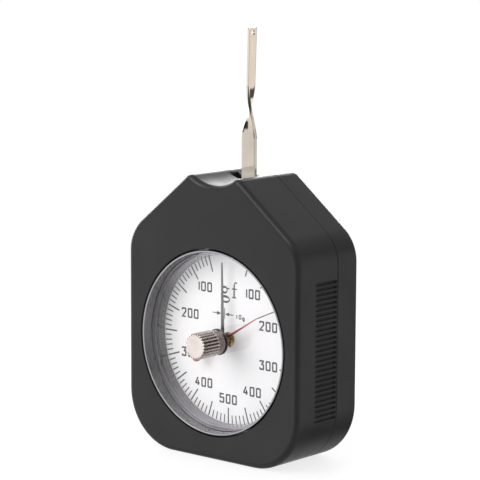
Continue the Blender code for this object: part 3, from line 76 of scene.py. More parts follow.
# Casing
HALF_WIDTH = CASE_HIGH[0] * MM
SHOULDER_RISE = 30.05
CREST_RISE = 49.1
CREST_HALF_WIDTH = 9.1
SCOOP_RISE = 43.8
BASE_FILLET = 17.0
SHOULDER_FILLET = 12.0
CREST_FILLET = 3.0
SCOOP_FILLET = 14.5
RIM_FILLET = 1.8
LEAST_FILLET = 0.3
SHELL_END = (CASE_HIGH[1] - FRONT) * MM
REAR = (COVER_HIGH[1] - FRONT) * MM
SEAM_GAP = 0.3
COVER_START = SHELL_END + 0.1
SEAM_EDGE = 0.12
FRONT_WALL = 2.2
SIDE_WALL = 2.0
COVER_WALL = 3.0
COVER_BACK_WALL = 2.0
LIP_CLEARANCE = 0.15
LIP_REACH = 1.6
SLOT_HALF_WIDTH = 7.0
SLOT_FLOOR_RISE = SCOOP_RISE - COVER_WALL
SLOT_FRONT_DEPTH = 15.87
SLOT_REAR_DEPTH = 19.6
SLOT_LIP_MARGIN = 0.9
RIB_COUNT = 28
RIB_PITCH = 1.46
RIB_FRONT_DEPTH = 7.35
RIB_RUN_OUT = 0.9
RIB_END_MARGIN = 0.15
RIB_END_RUN_OUT = 0.4
RIB_CREST_DROP = 0.14
# Half a groove, as distances from its middle and drops below the wall
RIB_SECTION = (
    (0.09, 0.8),
    (0.21, 0.46),
    (0.37, 0.27),
    (0.62, RIB_CREST_DROP),
)

# Bezel, crystal and dial
BEZEL_RADIUS = 27.05
BEZEL_GAP = 0.55
OPENING_RADIUS = BEZEL_RADIUS + BEZEL_GAP
OPENING_EDGE = 0.25
BEZEL_LIP_WIDTH = 0.45
BEZEL_FLANGE_RADIUS = 28.6
BEZEL_FLANGE_DEPTH = 5.0
BEZEL_REAR = 8.2
FLANGE_CLEARANCE = 0.3
WELL_RADIUS = BEZEL_FLANGE_RADIUS + FLANGE_CLEARANCE
WELL_WALL = 1.5
WELL_SHOULDER = BEZEL_FLANGE_DEPTH - SEAM_GAP
CRYSTAL_RADIUS = 26.3
CRYSTAL_FRONT = 3.35
CRYSTAL_REAR = 4.65
CRYSTAL_SEAT = 26.4
CRYSTAL_LEDGE = 0.9
SIGHT_RADIUS = 25.0
DIAL_FRONT = 8.5
DIAL_THICKNESS = 0.8
DIAL_RADIUS = 28.4
DIAL_HOLE_RADIUS = 2.2
FRONT_PLATE = 9.6
BOSS_END = FRONT_PLATE - SEAM_GAP
TURNED_EDGE = 0.12
FIT = 0.05
OVERRUN = 1.0

# Screws and bosses, each pair mirrored to the other side
MOVEMENT_SCREWS = ((14.0, 33.9), (14.0, -28.8))
MOVEMENT_BOSS_RADIUS = 2.6
MOVEMENT_BORE_RADIUS = 1.0
MOVEMENT_BORE_TIP = 4.1
COVER_SCREWS = ((22.05, 28.0), (23.05, -23.0))
COVER_BOSS_RADIUS = 3.0
COVER_SCREW_RADIUS = 1.0
COVER_SCREW_LENGTH = 13.0
COVER_HEAD_RADIUS = 1.9
COVER_HEAD_HEIGHT = 1.4
COVER_HEAD_FRONT = 24.6
COVER_HEAD_ROUND = 0.3
COVER_SEAT_RADIUS = 2.1
PASSING_RADIUS = 1.2
CROSS_HALF_WIDTH = 0.22
CROSS_REACH = 1.3
CROSS_DEPTH = 0.6

# Lever
STRIP_FRONT = 16.27
STRIP_THICKNESS = 1.0
STRIP_WIDTH = 5.07
STRIP_EYE_RADIUS = 4.2
STRIP_TAPER_START = 30.5
STRIP_TAPER_END = 37.2
NECK_WIDTH = 3.3
TWIST_START = 32.2
TWIST_END = 45.9
TWIST_ANGLE = math.radians(-90)
TWIST_EASE = 0.06
BLADE_THICKNESS = 0.85
BLADE_ROOT_WIDTH = 3.0
BLADE_TIP_WIDTH = 3.2
BLADE_TIP_RISE = 62.65
BLADE_ROOT_LEAN = 0.6
BLADE_TIP_LEAN = 1.15
BLADE_CORNER = 0.4
BLADE_HOLE_RADIUS = 0.85
BLADE_HOLE_DROP = 1.55
STRIP_EDGE = 0.12
ARBOR_BORE_RADIUS = 1.55
DOWEL_OFFSET = 2.9
DOWEL_BORE_RADIUS = 0.55

# Pointers and their hubs
ZERO_ANGLE = math.radians(-1.05)
ZERO_FRONT = 5.75
POINTER_THICKNESS = 0.18
ZERO_REACH = 23.0
ZERO_ROOT_WIDTH = 1.2
ZERO_TIP_WIDTH = 0.45
POINTER_EYE_RADIUS = 2.0
POINTER_HUB_RADIUS = 1.5
POINTER_HUB_REAR = 8.1
POINTER_NECK_RADIUS = 0.9
SHAFT_RADIUS = 0.5
PEAK_ANGLE = math.radians(58.3)
PEAK_FRONT = 4.98
PEAK_REACH = 24.0
PEAK_ROOT_WIDTH = 0.75
PEAK_TIP_WIDTH = 0.3
PEAK_BEND_RADIUS = 15.5
PEAK_TIP_DRIFT = 1.2
PEAK_TAIL_REACH = 11.1
PEAK_TAIL_TURN = math.radians(2.5)
PEAK_TAIL_WIDTH = 0.8
PEAK_WEIGHT_RADIUS = 1.95
PEAK_HUB_RADIUS = 1.5
PEAK_NECK_RADIUS = 1.05
PEAK_HUB_FRONT = 4.85
PEAK_HUB_REAR = 5.4
SPINDLE_RADIUS = 0.7

# Reset knob
KNOB_RADIUS = 3.86
KNOB_FRONT = -6.9
KNOB_REAR = 2.9
KNOB_FLUTED_LENGTH = 6.6
KNOB_FLUTES = 24
FLUTE_DEPTH = 0.42
FLUTE_HALF_SHARE = 0.3
FLUTE_RUN_OUT = 0.8
KNOB_CHAMFER = 0.3
KNOB_COLLAR_RADIUS = 3.62
KNOB_FOOT_RADIUS = 3.43
KNOB_FOOT_HEIGHT = 0.5
KNOB_BORE_DEPTH = 7.2
KNOB_BORE_RADIUS = 0.75
KNOB_RECESS_RADIUS = 2.7
KNOB_RECESS_DEPTH = 1.1
FLANGE_RADIUS = 3.9
FLANGE_FRONT = 2.95
FLANGE_REAR = 3.3
BUSHING_RADIUS = 1.5
BUSHING_REAR = 4.7
BUSHING_BORE = 0.75

# Printing on the dial: ticks as inner radius, outer radius and width
INK_HEIGHT = 0.02
MITRE_LIMIT = 0.5
LONG_TICK = (20.4, 25.0, 0.42)
SHORT_TICK = (22.6, 25.0, 0.35)
LONG_TICK_EVERY = 5
TICKS_EACH_TURN = 100
TICKS_LEFT_OUT = 5
# Height, width, gap, gap after a 1 and stroke of the figures
FIGURE_FACE = (2.95, 1.88, 0.54, 0.5, 0.5)
MARK_FACE = (1.4, 0.98, 0.58, 0.58, 0.3)
FIGURE_CORNER_SHARE = 0.1
FIGURES = (
    ("100", -9.17, 14.65),
    ("100", 9.2, 14.45),
    ("200", -15.15, 6.0),
    ("200", 14.97, 5.65),
    ("300", -15.1, -5.85),
    ("300", 15.07, -5.85),
    ("400", -9.7, -14.1),
    ("400", 9.05, -14.3),
    ("500", -0.1, -17.8),
)
# Loops of the unit's letters, as x, rise, half width and half height
G_LOOPS = ((-1.6, 14.6, 0.95, 0.86), (-1.3, 11.83, 1.55, 0.8))
# Strokes of the unit's letters, as x, rise and width
G_EAR = ((-0.85, 15.05, 0.24), (-0.4, 15.12, 0.34), (0.25, 15.1, 0.46))
G_LINK = (
    (-2.2, 13.85, 0.24),
    (-2.7, 13.35, 0.3),
    (-2.3, 12.85, 0.4),
    (-1.1, 12.75, 0.46),
    (-0.2, 12.45, 0.42),
)
F_STEM = (
    (2.03, 12.6, 0.5),
    (2.03, 15.0, 0.5),
    (2.06, 16.2, 0.46),
    (2.35, 17.0, 0.36),
    (2.8, 17.12, 0.38),
    (3.05, 16.88, 0.52),
)
F_BAR = ((1.15, 15.18), (3.05, 15.18))
F_FOOT = ((1.25, 12.65), (2.8, 12.65))
THIN_LINE = 0.34
LOOP_THICK = 0.6
# The mark for 10 gf: two bars between arrows, its value beside them
MARK_RISE = 7.4
ARROW_LINE = 0.26
ARROW_HEAD_LENGTH = 1.4
ARROW_HEAD_WIDTH = 1.15
ARROWS = ((-6.24, -3.1), (1.69, -1.32))
MARK_BARS = (-2.85, -1.6)
MARK_BAR_RISES = (6.0, 9.2)
MARK_FIGURE_X = 3.88
MARK_FIGURE_RISE = 7.15
MARK_G_X = 5.6

# Camera, fitted to the photograph
CAMERA_AZIMUTH = math.radians(40.534)
CAMERA_ELEVATION = math.radians(8.49)
CAMERA_ROLL = math.radians(0.27)
CAMERA_DISTANCE = 0.63136
CAMERA_ACROSS = 0.00038
CAMERA_DOWN = -0.028495
FOCAL_PIXELS = 2143.67
IMAGE_PIXELS = 480

# Surroundings
FLOOR_RADIUS = 1.2
FLOOR_SEGMENTS = 96
FLOOR_GLOW = 1.1
FLOOR_GLOW_SHARE = 0.72
FLOOR_FADE = (0.12, 0.4)
LAMP_PLACE = (-0.42, -0.82, 0.5)
LAMP_SIZE = 0.85
LAMP_POWER = 6.6
SOFT_LIGHT = 0.9
# Fades of the studio that the gloss mirrors, towards its dark side, to the right and with
# the rise: strength at both ends, and the ends
DARK_AZIMUTH = math.radians(20)
DARK_FADE = (1.0, 0.05, 0.42, 0.95)
RIGHT_FADE = (1.0, 0.85, 0.0, 0.6)
RISE_FADES = ((1.0, 0.4, 0.05, 0.4), (1.0, 1.4, 0.45, 0.75), (0.45, 1.0, -0.6, -0.25))
# Its white and black cards: azimuth, half width, lowest and highest rise of the direction,
# strength
STUDIO_CARDS = (
    (math.radians(-122), math.radians(36), 0.0, 0.5, 7.5),
    (math.radians(-10), math.radians(22), 0.38, 0.72, 14.0),
    (math.radians(-60), math.radians(14), 0.0, 0.6, 0.02),
    (math.radians(163), math.radians(17), -0.6, 0.3, 0.08),
)
CARD_INNER_BLUR = 0.1
CARD_OUTER_BLUR = 0.05
CARD_FACING_BLUR = 0.2
CARD_END_BLUR = 0.08

# Finishes: lines per metre along each axis, and the part that they have beside the drift
ALONG_STRIP = (9000.0, 9000.0, 220.0)
UP_PLATES = (260.0, 260.0, 7000.0)
TOOL_MARKS = (300.0, 14000.0, 300.0)
LINE_SHARE = 0.35
# Painted reflection on the wall round the dial, as pale metal at its top and bottom: its colour,
# then its share at two rises, and both rises
PAINTED_SHEEN_COLOUR = (0.9, 0.85, 0.95)
PAINTED_SHEEN_TOP = (0.0, 0.5, 12.0, 25.0)
PAINTED_SHEEN_BOTTOM = (0.0, 0.26, -12.0, -25.0)
# Rises between which the lever gets its shine, and between which its colour is painted paler and
# warmer, a painted sheen standing in for the reflection on the blade
LEVER_SHINE = (0.15, 1.0, 48.0, 52.0)
LEVER_PAINTED_SHEEN = (60.0, 72.0)
# Distances from the dial's axis between which the pointers change colour
PEAK_PINK = (4.0, 15.0)
PEAK_TIP_PAINTED_REFLECTION = (15.6, 16.6)
POINTER_GREY = (4.5, 7.0)
# Sockets of a colour's mix node
MIX_FACTOR, MIX_LOW_COLOUR, MIX_HIGH_COLOUR = 0, 6, 7
MIX_COLOUR_OUT = 2

# Facets
RING_STEPS = 160
HUB_STEPS = 64
PIN_STEPS = 32
ARC_STEP = math.radians(5)
RIM_STEPS = 8
TAPER_SECTIONS = 12
TWIST_SECTIONS = 64
BLADE_SECTIONS = 6
CORNER_SECTIONS = 4
STRIP_CORNER_STEP = math.radians(45)
# The columns of the strip's wide faces, and the points of a section that they follow
STRIP_COLUMNS = 8
BEFORE_FACES = (5, 11)
FLUTE_POINTS = 12
CHAMFER_RINGS = 4
RUN_OUT_RINGS = 6
LOOP_POINTS = 28
CURVE_POINTS = 6
SMOOTH_ANGLE = math.radians(35)
WELD_DISTANCE = 1e-7
FLAT_WEIGHT = 100


def unit(x, z):
    length = math.hypot(x, z)
    return x / length, z / length


def rounded(corners, arc_step=ARC_STEP):
    """The outline through these (x, z, fillet) corners, each rounded by its fillet."""
    spots = [complex(x, z) for x, z, _ in corners]
    ways = [after - spot for spot, after in zip(spots, spots[1:] + spots[:1])]
    befores = ways[-1:] + ways[:-1]
    turns = [cmath.phase(way / before) for before, way in zip(befores, ways)]
    reaches = [corner[2] * math.tan(abs(turn) / 2) for corner, turn in zip(corners, turns)]
    for i, way in enumerate(ways):
        after = (i + 1) % len(ways)
        share = abs(way) / max(reaches[i] + reaches[after], abs(way))
        reaches[i] *= share
        reaches[after] *= share
    points = []
    for spot, before, turn, reach in zip(spots, befores, turns, reaches):
        if not reach:
            points.append(spot)
            continue
        onward = before / abs(before)
        radius = math.copysign(reach / math.tan(abs(turn) / 2), turn)
        centre = spot - onward * reach + onward * radius * 1j
        steps = max(2, round(abs(turn) / arc_step))
        for k in range(steps + 1):
            points.append(centre - onward * radius * 1j * cmath.exp(1j * turn * k / steps))
    return [(point.real, point.imag) for point in points]


def case_outline(inset=0.0):
    """The casing's outline, drawn in by the inset on all sides, always with as many points."""
    right = [
        (HALF_WIDTH, -AXIS * MM, BASE_FILLET),
        (HALF_WIDTH, SHOULDER_RISE, SHOULDER_FILLET),
        (CREST_HALF_WIDTH, CREST_RISE, CREST_FILLET),
    ]
    left = [(-x, z, fillet) for x, z, fillet in reversed(right)]
    corners = right + [(0.0, SCOOP_RISE, SCOOP_FILLET)] + left
    moved = []
    for i, (x, z, fillet) in enumerate(corners):
        before = corners[i - 1]
        after = corners[(i + 1) % len(corners)]
        ax, az = unit(x - before[0], z - before[1])
        bx, bz = unit(after[0] - x, after[1] - z)
        cross = ax * bz - az * bx
        along = inset * (1 - ax * bx - az * bz) / cross
        new_fillet = max(fillet - inset, LEAST_FILLET) if cross > 0 else fillet + inset
        moved.append((x - az * inset - ax * along, z + ax * inset - az * along, new_fillet))
    return rounded(moved)


def at(x, depth, rise):
    """A place on the gauge in the scene's frame."""
    return Vector((x / MM, FRONT + depth / MM, AXIS + rise / MM))


def mirrored(places):
    """Each (x, z) place and its mirror image on the other side."""
    return [(side * x, z) for x, z in places for side in (1, -1)]


def quarter_turn(steps):
    """The sines and 1 minus the cosines of even steps through a quarter turn."""
    angles = [math.pi / 2 * k / steps for k in range(steps + 1)]
    return [(math.sin(angle), 1 - math.cos(angle)) for angle in angles]


# Meshes
def stand(name, data):
    """Puts a new object with this data into the scene."""
    made = bpy.data.objects.new(name, data)
    bpy.context.scene.collection.objects.link(made)
    return made


def piece_of(bm, name):
    mesh = bpy.data.meshes.new(name)
    bm.to_mesh(mesh)
    bm.free()
    return stand(name, mesh)


def finish_mesh(bm, name):
    """Closes the mesh into a piece that stands at the origin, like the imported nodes."""
    bmesh.ops.remove_doubles(bm, verts=bm.verts, dist=WELD_DISTANCE)
    bmesh.ops.recalc_face_normals(bm, faces=bm.faces)
    return piece_of(bm, name)


def soften(piece, even=False):
    """Smooth shading, which the large flat faces set beside small fillets if it is to be even."""
    piece.data.shade_smooth()
    piece.data.set_sharp_from_angle(angle=SMOOTH_ANGLE)
    if even:
        weighted = piece.modifiers.new("even_normals", "WEIGHTED_NORMAL")
        weighted.weight = FLAT_WEIGHT
        weighted.keep_sharp = True
    return piece


def bridge_rings(bm, rings, capped=True):
    for near, far in zip(rings, rings[1:]):
        for i in range(len(near)):
            bm.faces.new((near[i - 1], near[i], far[i], far[i - 1]))
    if capped:
        bm.faces.new(rings[0])
        bm.faces.new(rings[-1])


def loft(name, layers):
    """A piece through (outline, depth) layers of equal count, capped at both ends."""
    bm = bmesh.new()
    rings = [[bm.verts.new(at(x, depth, z)) for x, z in outline] for outline, depth in layers]
    bridge_rings(bm, rings)
    return finish_mesh(bm, name)


def prism(name, outline, near, far):
    return loft(name, [(outline, near), (outline, far)])


def spin(bm, profile, steps, x=0.0, z=0.0):
    """Turns a (radius, depth) profile about the depth axis through (x, z)."""
    ring = [bm.verts.new(at(x + radius, depth, z)) for radius, depth in profile]
    edges = [bm.edges.new(pair) for pair in zip(ring, ring[1:])]
    if profile[0][0] and profile[-1][0]:
        edges.append(bm.edges.new((ring[-1], ring[0])))
    turn = {"cent": at(x, 0.0, z), "axis": (0.0, 1.0, 0.0), "angle": math.tau}
    bmesh.ops.spin(bm, geom=ring + edges, steps=steps, use_merge=True, **turn)


def turned(name, profile, steps, x=0.0, z=0.0, fillet=0.0, even=False):
    """A turned piece; the fillet is for those corners of the profile that name none."""
    bm = bmesh.new()
    spin(bm, rounded([(*corner, fillet)[:3] for corner in profile]), steps, x, z)
    return soften(finish_mesh(bm, name), even)


def stepped(bore, steps, end):
    """The profile of a piece with this bore and (depth, radius) steps up to its end."""
    depths = [depth for depth, _ in steps[1:]] + [end]
    corners = [(bore, steps[0][0])]
    for (near, radius), far in zip(steps, depths):
        corners += [(radius, near), (radius, far)]
    return corners + [(bore, end)]


def washer(name, inner, outer, front, rear):
    """A flat disc with a hole about the dial's axis and barely eased edges."""
    profile = stepped(inner, [(front, outer)], rear)
    return turned(name, profile, RING_STEPS, fillet=FIT, even=True)


def rods(name, places, near, far, steps=PIN_STEPS):
    """Rods along the depth axis at these (x, z, radius) places, to cut or to join on."""
    bm = bmesh.new()
    for x, z, radius in places:
        spin(bm, stepped(0.0, [(near, radius)], far), steps, x, z)
    return finish_mesh(bm, name)


def bores(name, places, radius, near, far, steps=PIN_STEPS):
    """Rods of one radius at these (x, z) places."""
    return rods(name, [(x, z, radius) for x, z in places], near, far, steps)


def turn_piece(piece, middle, angle, axis):
    """Turns the piece's mesh about an axis through this place."""
    turn = Matrix.Translation(middle) @ Matrix.Rotation(angle, 4, axis)
    piece.data.transform(turn @ Matrix.Translation(-middle))


def combine(target, tool, operation):
    """Cuts the tool from the target or joins it on, and removes the tool."""
    change = target.modifiers.new(tool.name, "BOOLEAN")
    change.operation = operation
    change.solver = "MANIFOLD"
    change.object = tool
    graph = bpy.context.evaluated_depsgraph_get()
    mesh = bpy.data.meshes.new_from_object(target.evaluated_get(graph))
    target.modifiers.clear()
    old = target.data
    target.data = mesh
    bpy.data.meshes.remove(old)
    bpy.data.objects.remove(tool, do_unlink=True)


def cut(target, tool):
    combine(target, tool, "DIFFERENCE")


def join(target, tool):
    combine(target, tool, "UNION")


# Casing
def fillet_layers(depth, inward):
    """Layers that round an end face into the walls; inward points into the body."""
    layers = []
    for sine, drop in quarter_turn(RIM_STEPS):
        layers.append((case_outline(RIM_FILLET * (1 - sine)), depth + inward * RIM_FILLET * drop))
    return layers


def rib_cutter(side):
    """The grip grooves of one side wall, with rounded ribs between them."""
    outside = side * (HALF_WIDTH + OVERRUN)
    crest = side * (HALF_WIDTH - RIB_CREST_DROP)
    high = RIB_COUNT * RIB_PITCH / 2
    comb = [(outside, -high), (crest, -high)]
    for i in range(RIB_COUNT):
        middle = (i + 0.5) * RIB_PITCH - high
        for way in (-1, 1):
            for away, drop in RIB_SECTION[::way]:
                comb.append((side * (HALF_WIDTH - drop), middle + way * away))
    comb += [(crest, high), (outside, high)]
    thin = side * (HALF_WIDTH + FIT)
    run_out = [(outside if x == outside else thin, z) for x, z in comb]
    far = SHELL_END - RIB_END_MARGIN
    layers = [
        (run_out, RIB_FRONT_DEPTH),
        (comb, RIB_FRONT_DEPTH + RIB_RUN_OUT),
        (comb, far - RIB_END_RUN_OUT),
        (run_out, far),
    ]
    return loft("rib_cutter", layers)


def slot_cutter(half_width, low, near, far):
    """The block that opens the scoop for the lever."""
    high = CREST_RISE + OVERRUN
    outline = [(half_width, low), (half_width, high), (-half_width, high), (-half_width, low)]
    return prism("slot", outline, near, far)


def housing_shell():
    """Moulded front shell with its well, bosses, grip grooves and lever slot."""
    layers = fillet_layers(0.0, 1)
    layers += [(case_outline(), SHELL_END - SEAM_EDGE), (case_outline(SEAM_EDGE), SHELL_END)]
    shell = loft("housing_shell", layers)
    for side in (1, -1):
        cut(shell, rib_cutter(side))
    movement, cover = mirrored(MOVEMENT_SCREWS), mirrored(COVER_SCREWS)
    root = FRONT_WALL - OVERRUN
    past_boss, past_shell = BOSS_END + OVERRUN, SHELL_END + OVERRUN
    cut(shell, prism("cavity", case_outline(SIDE_WALL), FRONT_WALL, past_shell))
    join(shell, bores("well", [(0.0, 0.0)], WELL_RADIUS + WELL_WALL, root, BOSS_END, RING_STEPS))
    join(shell, bores("bosses", movement, MOVEMENT_BOSS_RADIUS, root, BOSS_END))
    join(shell, bores("cover_bosses", cover, COVER_BOSS_RADIUS, root, SHELL_END))
    opening = [
        (0.0, -OVERRUN),
        (OPENING_RADIUS + OPENING_EDGE + OVERRUN, -OVERRUN),
        (OPENING_RADIUS + OPENING_EDGE, 0.0),
        (OPENING_RADIUS + OPENING_EDGE / 4, OPENING_EDGE / 3),
        (OPENING_RADIUS, OPENING_EDGE),
        (OPENING_RADIUS, WELL_SHOULDER),
        (WELL_RADIUS, WELL_SHOULDER),
        (WELL_RADIUS, past_boss),
        (0.0, past_boss),
    ]
    cut(shell, turned("opening", opening, RING_STEPS))
    cut(shell, bores("threads", movement, MOVEMENT_BORE_RADIUS, MOVEMENT_BORE_TIP, past_boss))
    tip = COVER_HEAD_FRONT - COVER_SCREW_LENGTH - SEAM_GAP
    cut(shell, bores("cover_threads", cover, COVER_SCREW_RADIUS + FIT, tip, past_shell))
    cut(shell, slot_cutter(SLOT_HALF_WIDTH, SLOT_FLOOR_RISE, SLOT_FRONT_DEPTH, past_shell))
    return soften(shell, even=True)


def cover_shell():
    """Moulded back with its lip, bosses and sunk screw seats."""
    layers = [(case_outline(SEAM_EDGE), COVER_START), (case_outline(), COVER_START + SEAM_EDGE)]
    cover = loft("cover_shell", layers + fillet_layers(REAR, -1)[::-1])
    lip = case_outline(SIDE_WALL + LIP_CLEARANCE)
    floor = REAR - COVER_BACK_WALL
    near = SHELL_END - LIP_REACH - OVERRUN
    far = REAR + OVERRUN
    screws = mirrored(COVER_SCREWS)
    join(cover, prism("lip", lip, SHELL_END - LIP_REACH, COVER_START + OVERRUN))
    cut(cover, prism("hollow", case_outline(COVER_WALL), near, floor))
    join(cover, bores("bosses", screws, COVER_BOSS_RADIUS, COVER_START, floor + OVERRUN))
    lip_gap = SLOT_HALF_WIDTH + SLOT_LIP_MARGIN
    cut(cover, slot_cutter(lip_gap, SLOT_FLOOR_RISE, near, COVER_START))
    cut(cover, slot_cutter(SLOT_HALF_WIDTH, SLOT_FLOOR_RISE - OVERRUN, near, SLOT_REAR_DEPTH))
    cut(cover, bores("holes", screws, PASSING_RADIUS, COVER_START - OVERRUN, far))
    cut(cover, bores("seats", screws, COVER_SEAT_RADIUS, COVER_HEAD_FRONT - FIT, far))
    return soften(cover, even=True)


def cover_screw(name, x, z):
    """Sunk cross-head screw with an eased head."""
    tip = COVER_HEAD_FRONT - COVER_SCREW_LENGTH
    rear = COVER_HEAD_FRONT + COVER_HEAD_HEIGHT
    profile = [
        (0.0, tip),
        (COVER_SCREW_RADIUS, tip, COVER_HEAD_ROUND),
        (COVER_SCREW_RADIUS, COVER_HEAD_FRONT),
        (COVER_HEAD_RADIUS, COVER_HEAD_FRONT),
        (COVER_HEAD_RADIUS, rear, COVER_HEAD_ROUND),
        (0.0, rear),
    ]
    piece = turned(name, profile, PIN_STEPS, x, z)
    arm = [
        (CROSS_REACH, -CROSS_HALF_WIDTH),
        (CROSS_REACH, CROSS_HALF_WIDTH),
        (CROSS_HALF_WIDTH, CROSS_HALF_WIDTH),
    ]
    cross = []
    for k in range(4):
        turn = Matrix.Rotation(math.pi / 2 * k, 2)
        for corner in arm:
            px, pz = turn @ Vector(corner)
            cross.append((x + px, z + pz))
    cut(piece, prism("cross", cross, rear - CROSS_DEPTH, rear + OVERRUN))
    return soften(piece)


# Bezel, crystal and dial
def sight_ring():
    """Conical sight ring with its crystal seat and rear flange."""
    profile = [
        (BEZEL_RADIUS - BEZEL_LIP_WIDTH, 0.0),
        (BEZEL_RADIUS, 0.0),
        (BEZEL_RADIUS, BEZEL_FLANGE_DEPTH, 0.0),
        (BEZEL_FLANGE_RADIUS, BEZEL_FLANGE_DEPTH),
        (BEZEL_FLANGE_RADIUS, BEZEL_REAR),
        (SIGHT_RADIUS, BEZEL_REAR),
        (CRYSTAL_SEAT - CRYSTAL_LEDGE, CRYSTAL_REAR + FIT, FIT),
        (CRYSTAL_SEAT, CRYSTAL_REAR + FIT, 0.0),
        (CRYSTAL_SEAT, CRYSTAL_FRONT - FIT, FIT),
    ]
    return turned("sight_ring", profile, RING_STEPS, fillet=TURNED_EDGE, even=True)


def crystal_disc():
    inner = BUSHING_RADIUS + FIT
    return washer("crystal_disc", inner, CRYSTAL_RADIUS, CRYSTAL_FRONT, CRYSTAL_REAR)


def dial_face():
    rear = DIAL_FRONT + DIAL_THICKNESS
    return washer("dial_face", DIAL_HOLE_RADIUS, DIAL_RADIUS, DIAL_FRONT, rear)


def knob_collar():
    """The flanged bushing that shows as a dark ring round the knob's foot."""
    steps = [(FLANGE_FRONT, FLANGE_RADIUS), (FLANGE_REAR, BUSHING_RADIUS)]
    profile = stepped(BUSHING_BORE, steps, BUSHING_REAR)
    return turned("knob_collar", profile, HUB_STEPS, fillet=FIT)


# Printing on the dial
def stroke(bm, points, widths, closed=False):
    """A line of ink through (x, z) points, as wide as widths say, mitred at its corners."""
    after = [unit(b[0] - a[0], b[1] - a[1]) for a, b in zip(points, points[1:] + points[:1])]
    before = after[-1:] + after[:-1]
    if not closed:
        before[0], after[-1] = after[0], before[-1]
    front, back = DIAL_FRONT - INK_HEIGHT, DIAL_FRONT + INK_HEIGHT
    rings = []
    for (x, z), (ax, az), (bx, bz), width in zip(points, before, after, widths):
        nx, nz = unit(-az - bz, ax + bx)
        half = width / 2 / max(nz * ax - nx * az, MITRE_LIMIT)
        sides = ((half, front), (-half, front), (-half, back), (half, back))
        rings.append([bm.verts.new(at(x + nx * off, depth, z + nz * off)) for off, depth in sides])
    bridge_rings(bm, rings + rings[:1] if closed else rings, capped=not closed)


def even_stroke(bm, points, width, closed=False):
    stroke(bm, points, [width] * len(points), closed)


def flowing_stroke(bm, points):
    """A smooth line of ink through these (x, z, width) points."""
    ends = [points[0], *points, points[-1]]
    line = []
    for i in range(len(points) - 1):
        a, b, c, d = (Vector(point) for point in ends[i : i + 4])
        for k in range(CURVE_POINTS):
            t = k / CURVE_POINTS
            spot = 2 * b + (c - a) * t + (2 * a - 5 * b + 4 * c - d) * t * t
            spot += (3 * b - a - 3 * c + d) * t * t * t
            line.append(tuple(spot / 2))
    line.append(tuple(points[-1]))
    stroke(bm, [(x, z) for x, z, _ in line], [width for _, _, width in line])


def figure_shares():
    """Centre lines of the figures, as shares of their width and height."""
    c = FIGURE_CORNER_SHARE
    d = c * FIGURE_FACE[1] / FIGURE_FACE[0]
    low = [(0, d), (c, 0), (1 - c, 0), (1, d)]
    high = [(0, 1 - d), (c, 1), (1 - c, 1), (1, 1 - d)]
    three = [(0.42, 0.57), (1 - c, 0.57), (1, 0.57 - d)] + low[::-1] + [(0, 0.2)]
    five = [(1, 1), (0, 1), (0, 0.58), (1 - c, 0.58), (1, 0.58 - d)] + low[::-1] + [(0, 0.18)]
    return {
        "0": [low + high[::-1]],
        "1": [[(0, 0), (0, 1)]],
        "2": [[(0, 0.8)] + high + [(1, 0.64), (0.04, 0), (1, 0)]],
        "3": [[(0, 0.86)] + high[:3] + [(0.94, 0.92), (0.5, 0.6)], three],
        "4": [[(0.62, 1), (0, 0.34), (0, 0.27), (1.06, 0.27)], [(0.72, 0.62), (0.72, 0)]],
        "5": [five],
    }


def figure(bm, digits, middle_x, middle_z, face):
    """A row of figures centred on this place."""
    height, width, gap, one_gap, line = face
    shares = figure_shares()
    advances = [line + one_gap if digit == "1" else width + gap for digit in digits]
    left = middle_x - (sum(advances) - (one_gap if digits[-1] == "1" else gap)) / 2 + line / 2
    low = middle_z - height / 2 + line / 2
    for digit, advance in zip(digits, advances):
        for path in shares[digit]:
            points = [(left + x * (width - line), low + z * (height - line)) for x, z in path]
            even_stroke(bm, points, line, closed=digit == "0")
        left += advance


def ticks(bm):
    """Scale lines every 10 gf, long ones every 50 gf, none beside zero."""
    for k in range(TICKS_LEFT_OUT, TICKS_EACH_TURN + 1 - TICKS_LEFT_OUT):
        *radii, width = SHORT_TICK if k % LONG_TICK_EVERY else LONG_TICK
        angle = math.tau * k / TICKS_EACH_TURN
        points = [(radius * math.sin(angle), radius * math.cos(angle)) for radius in radii]
        even_stroke(bm, points, width)


def loop(x, z, half_width, half_height):
    angles = [math.tau * k / LOOP_POINTS for k in range(LOOP_POINTS)]
    return [(x + half_width * math.cos(a), z + half_height * math.sin(a)) for a in angles]


def letters(bm):
    """The unit under the zero, in a face with thick and thin strokes."""
    for x, z, half_width, half_height in G_LOOPS:
        path = loop(x, z, half_width, half_height)
        heights = [(rise - z) / half_height for _, rise in path]
        widths = [THIN_LINE + (LOOP_THICK - THIN_LINE) * height**2 for height in heights]
        stroke(bm, path, widths, closed=True)
    for points in (G_EAR, G_LINK, F_STEM):
        flowing_stroke(bm, points)
    for points in (F_BAR, F_FOOT):
        even_stroke(bm, points, THIN_LINE)


def division_mark(bm):
    """Two bars a division apart between arrows, with its value beside them."""
    for tail, tip in ARROWS:
        neck = tip - math.copysign(ARROW_HEAD_LENGTH, tip - tail)
        even_stroke(bm, [(tail, MARK_RISE), (neck, MARK_RISE)], ARROW_LINE)
        stroke(bm, [(neck, MARK_RISE), (tip, MARK_RISE)], [ARROW_HEAD_WIDTH, ARROW_LINE / 2])
    for x in MARK_BARS:
        even_stroke(bm, [(x, rise) for rise in MARK_BAR_RISES], ARROW_LINE)
    figure(bm, "10", MARK_FIGURE_X, MARK_FIGURE_RISE, MARK_FACE)
    height, width, _, _, line = MARK_FACE
    half = (width - line) / 2
    rise = MARK_FIGURE_RISE - height / 2 + half
    even_stroke(bm, loop(MARK_G_X, rise, half, half), line, closed=True)
    right = MARK_G_X + half
    hook = [
        (right, rise + half, line),
        (right, rise - half, line),
        (right - half / 2, rise - 2 * half, line),
        (right - 3 * half / 2, rise - 2 * half, line),
    ]
    flowing_stroke(bm, hook)


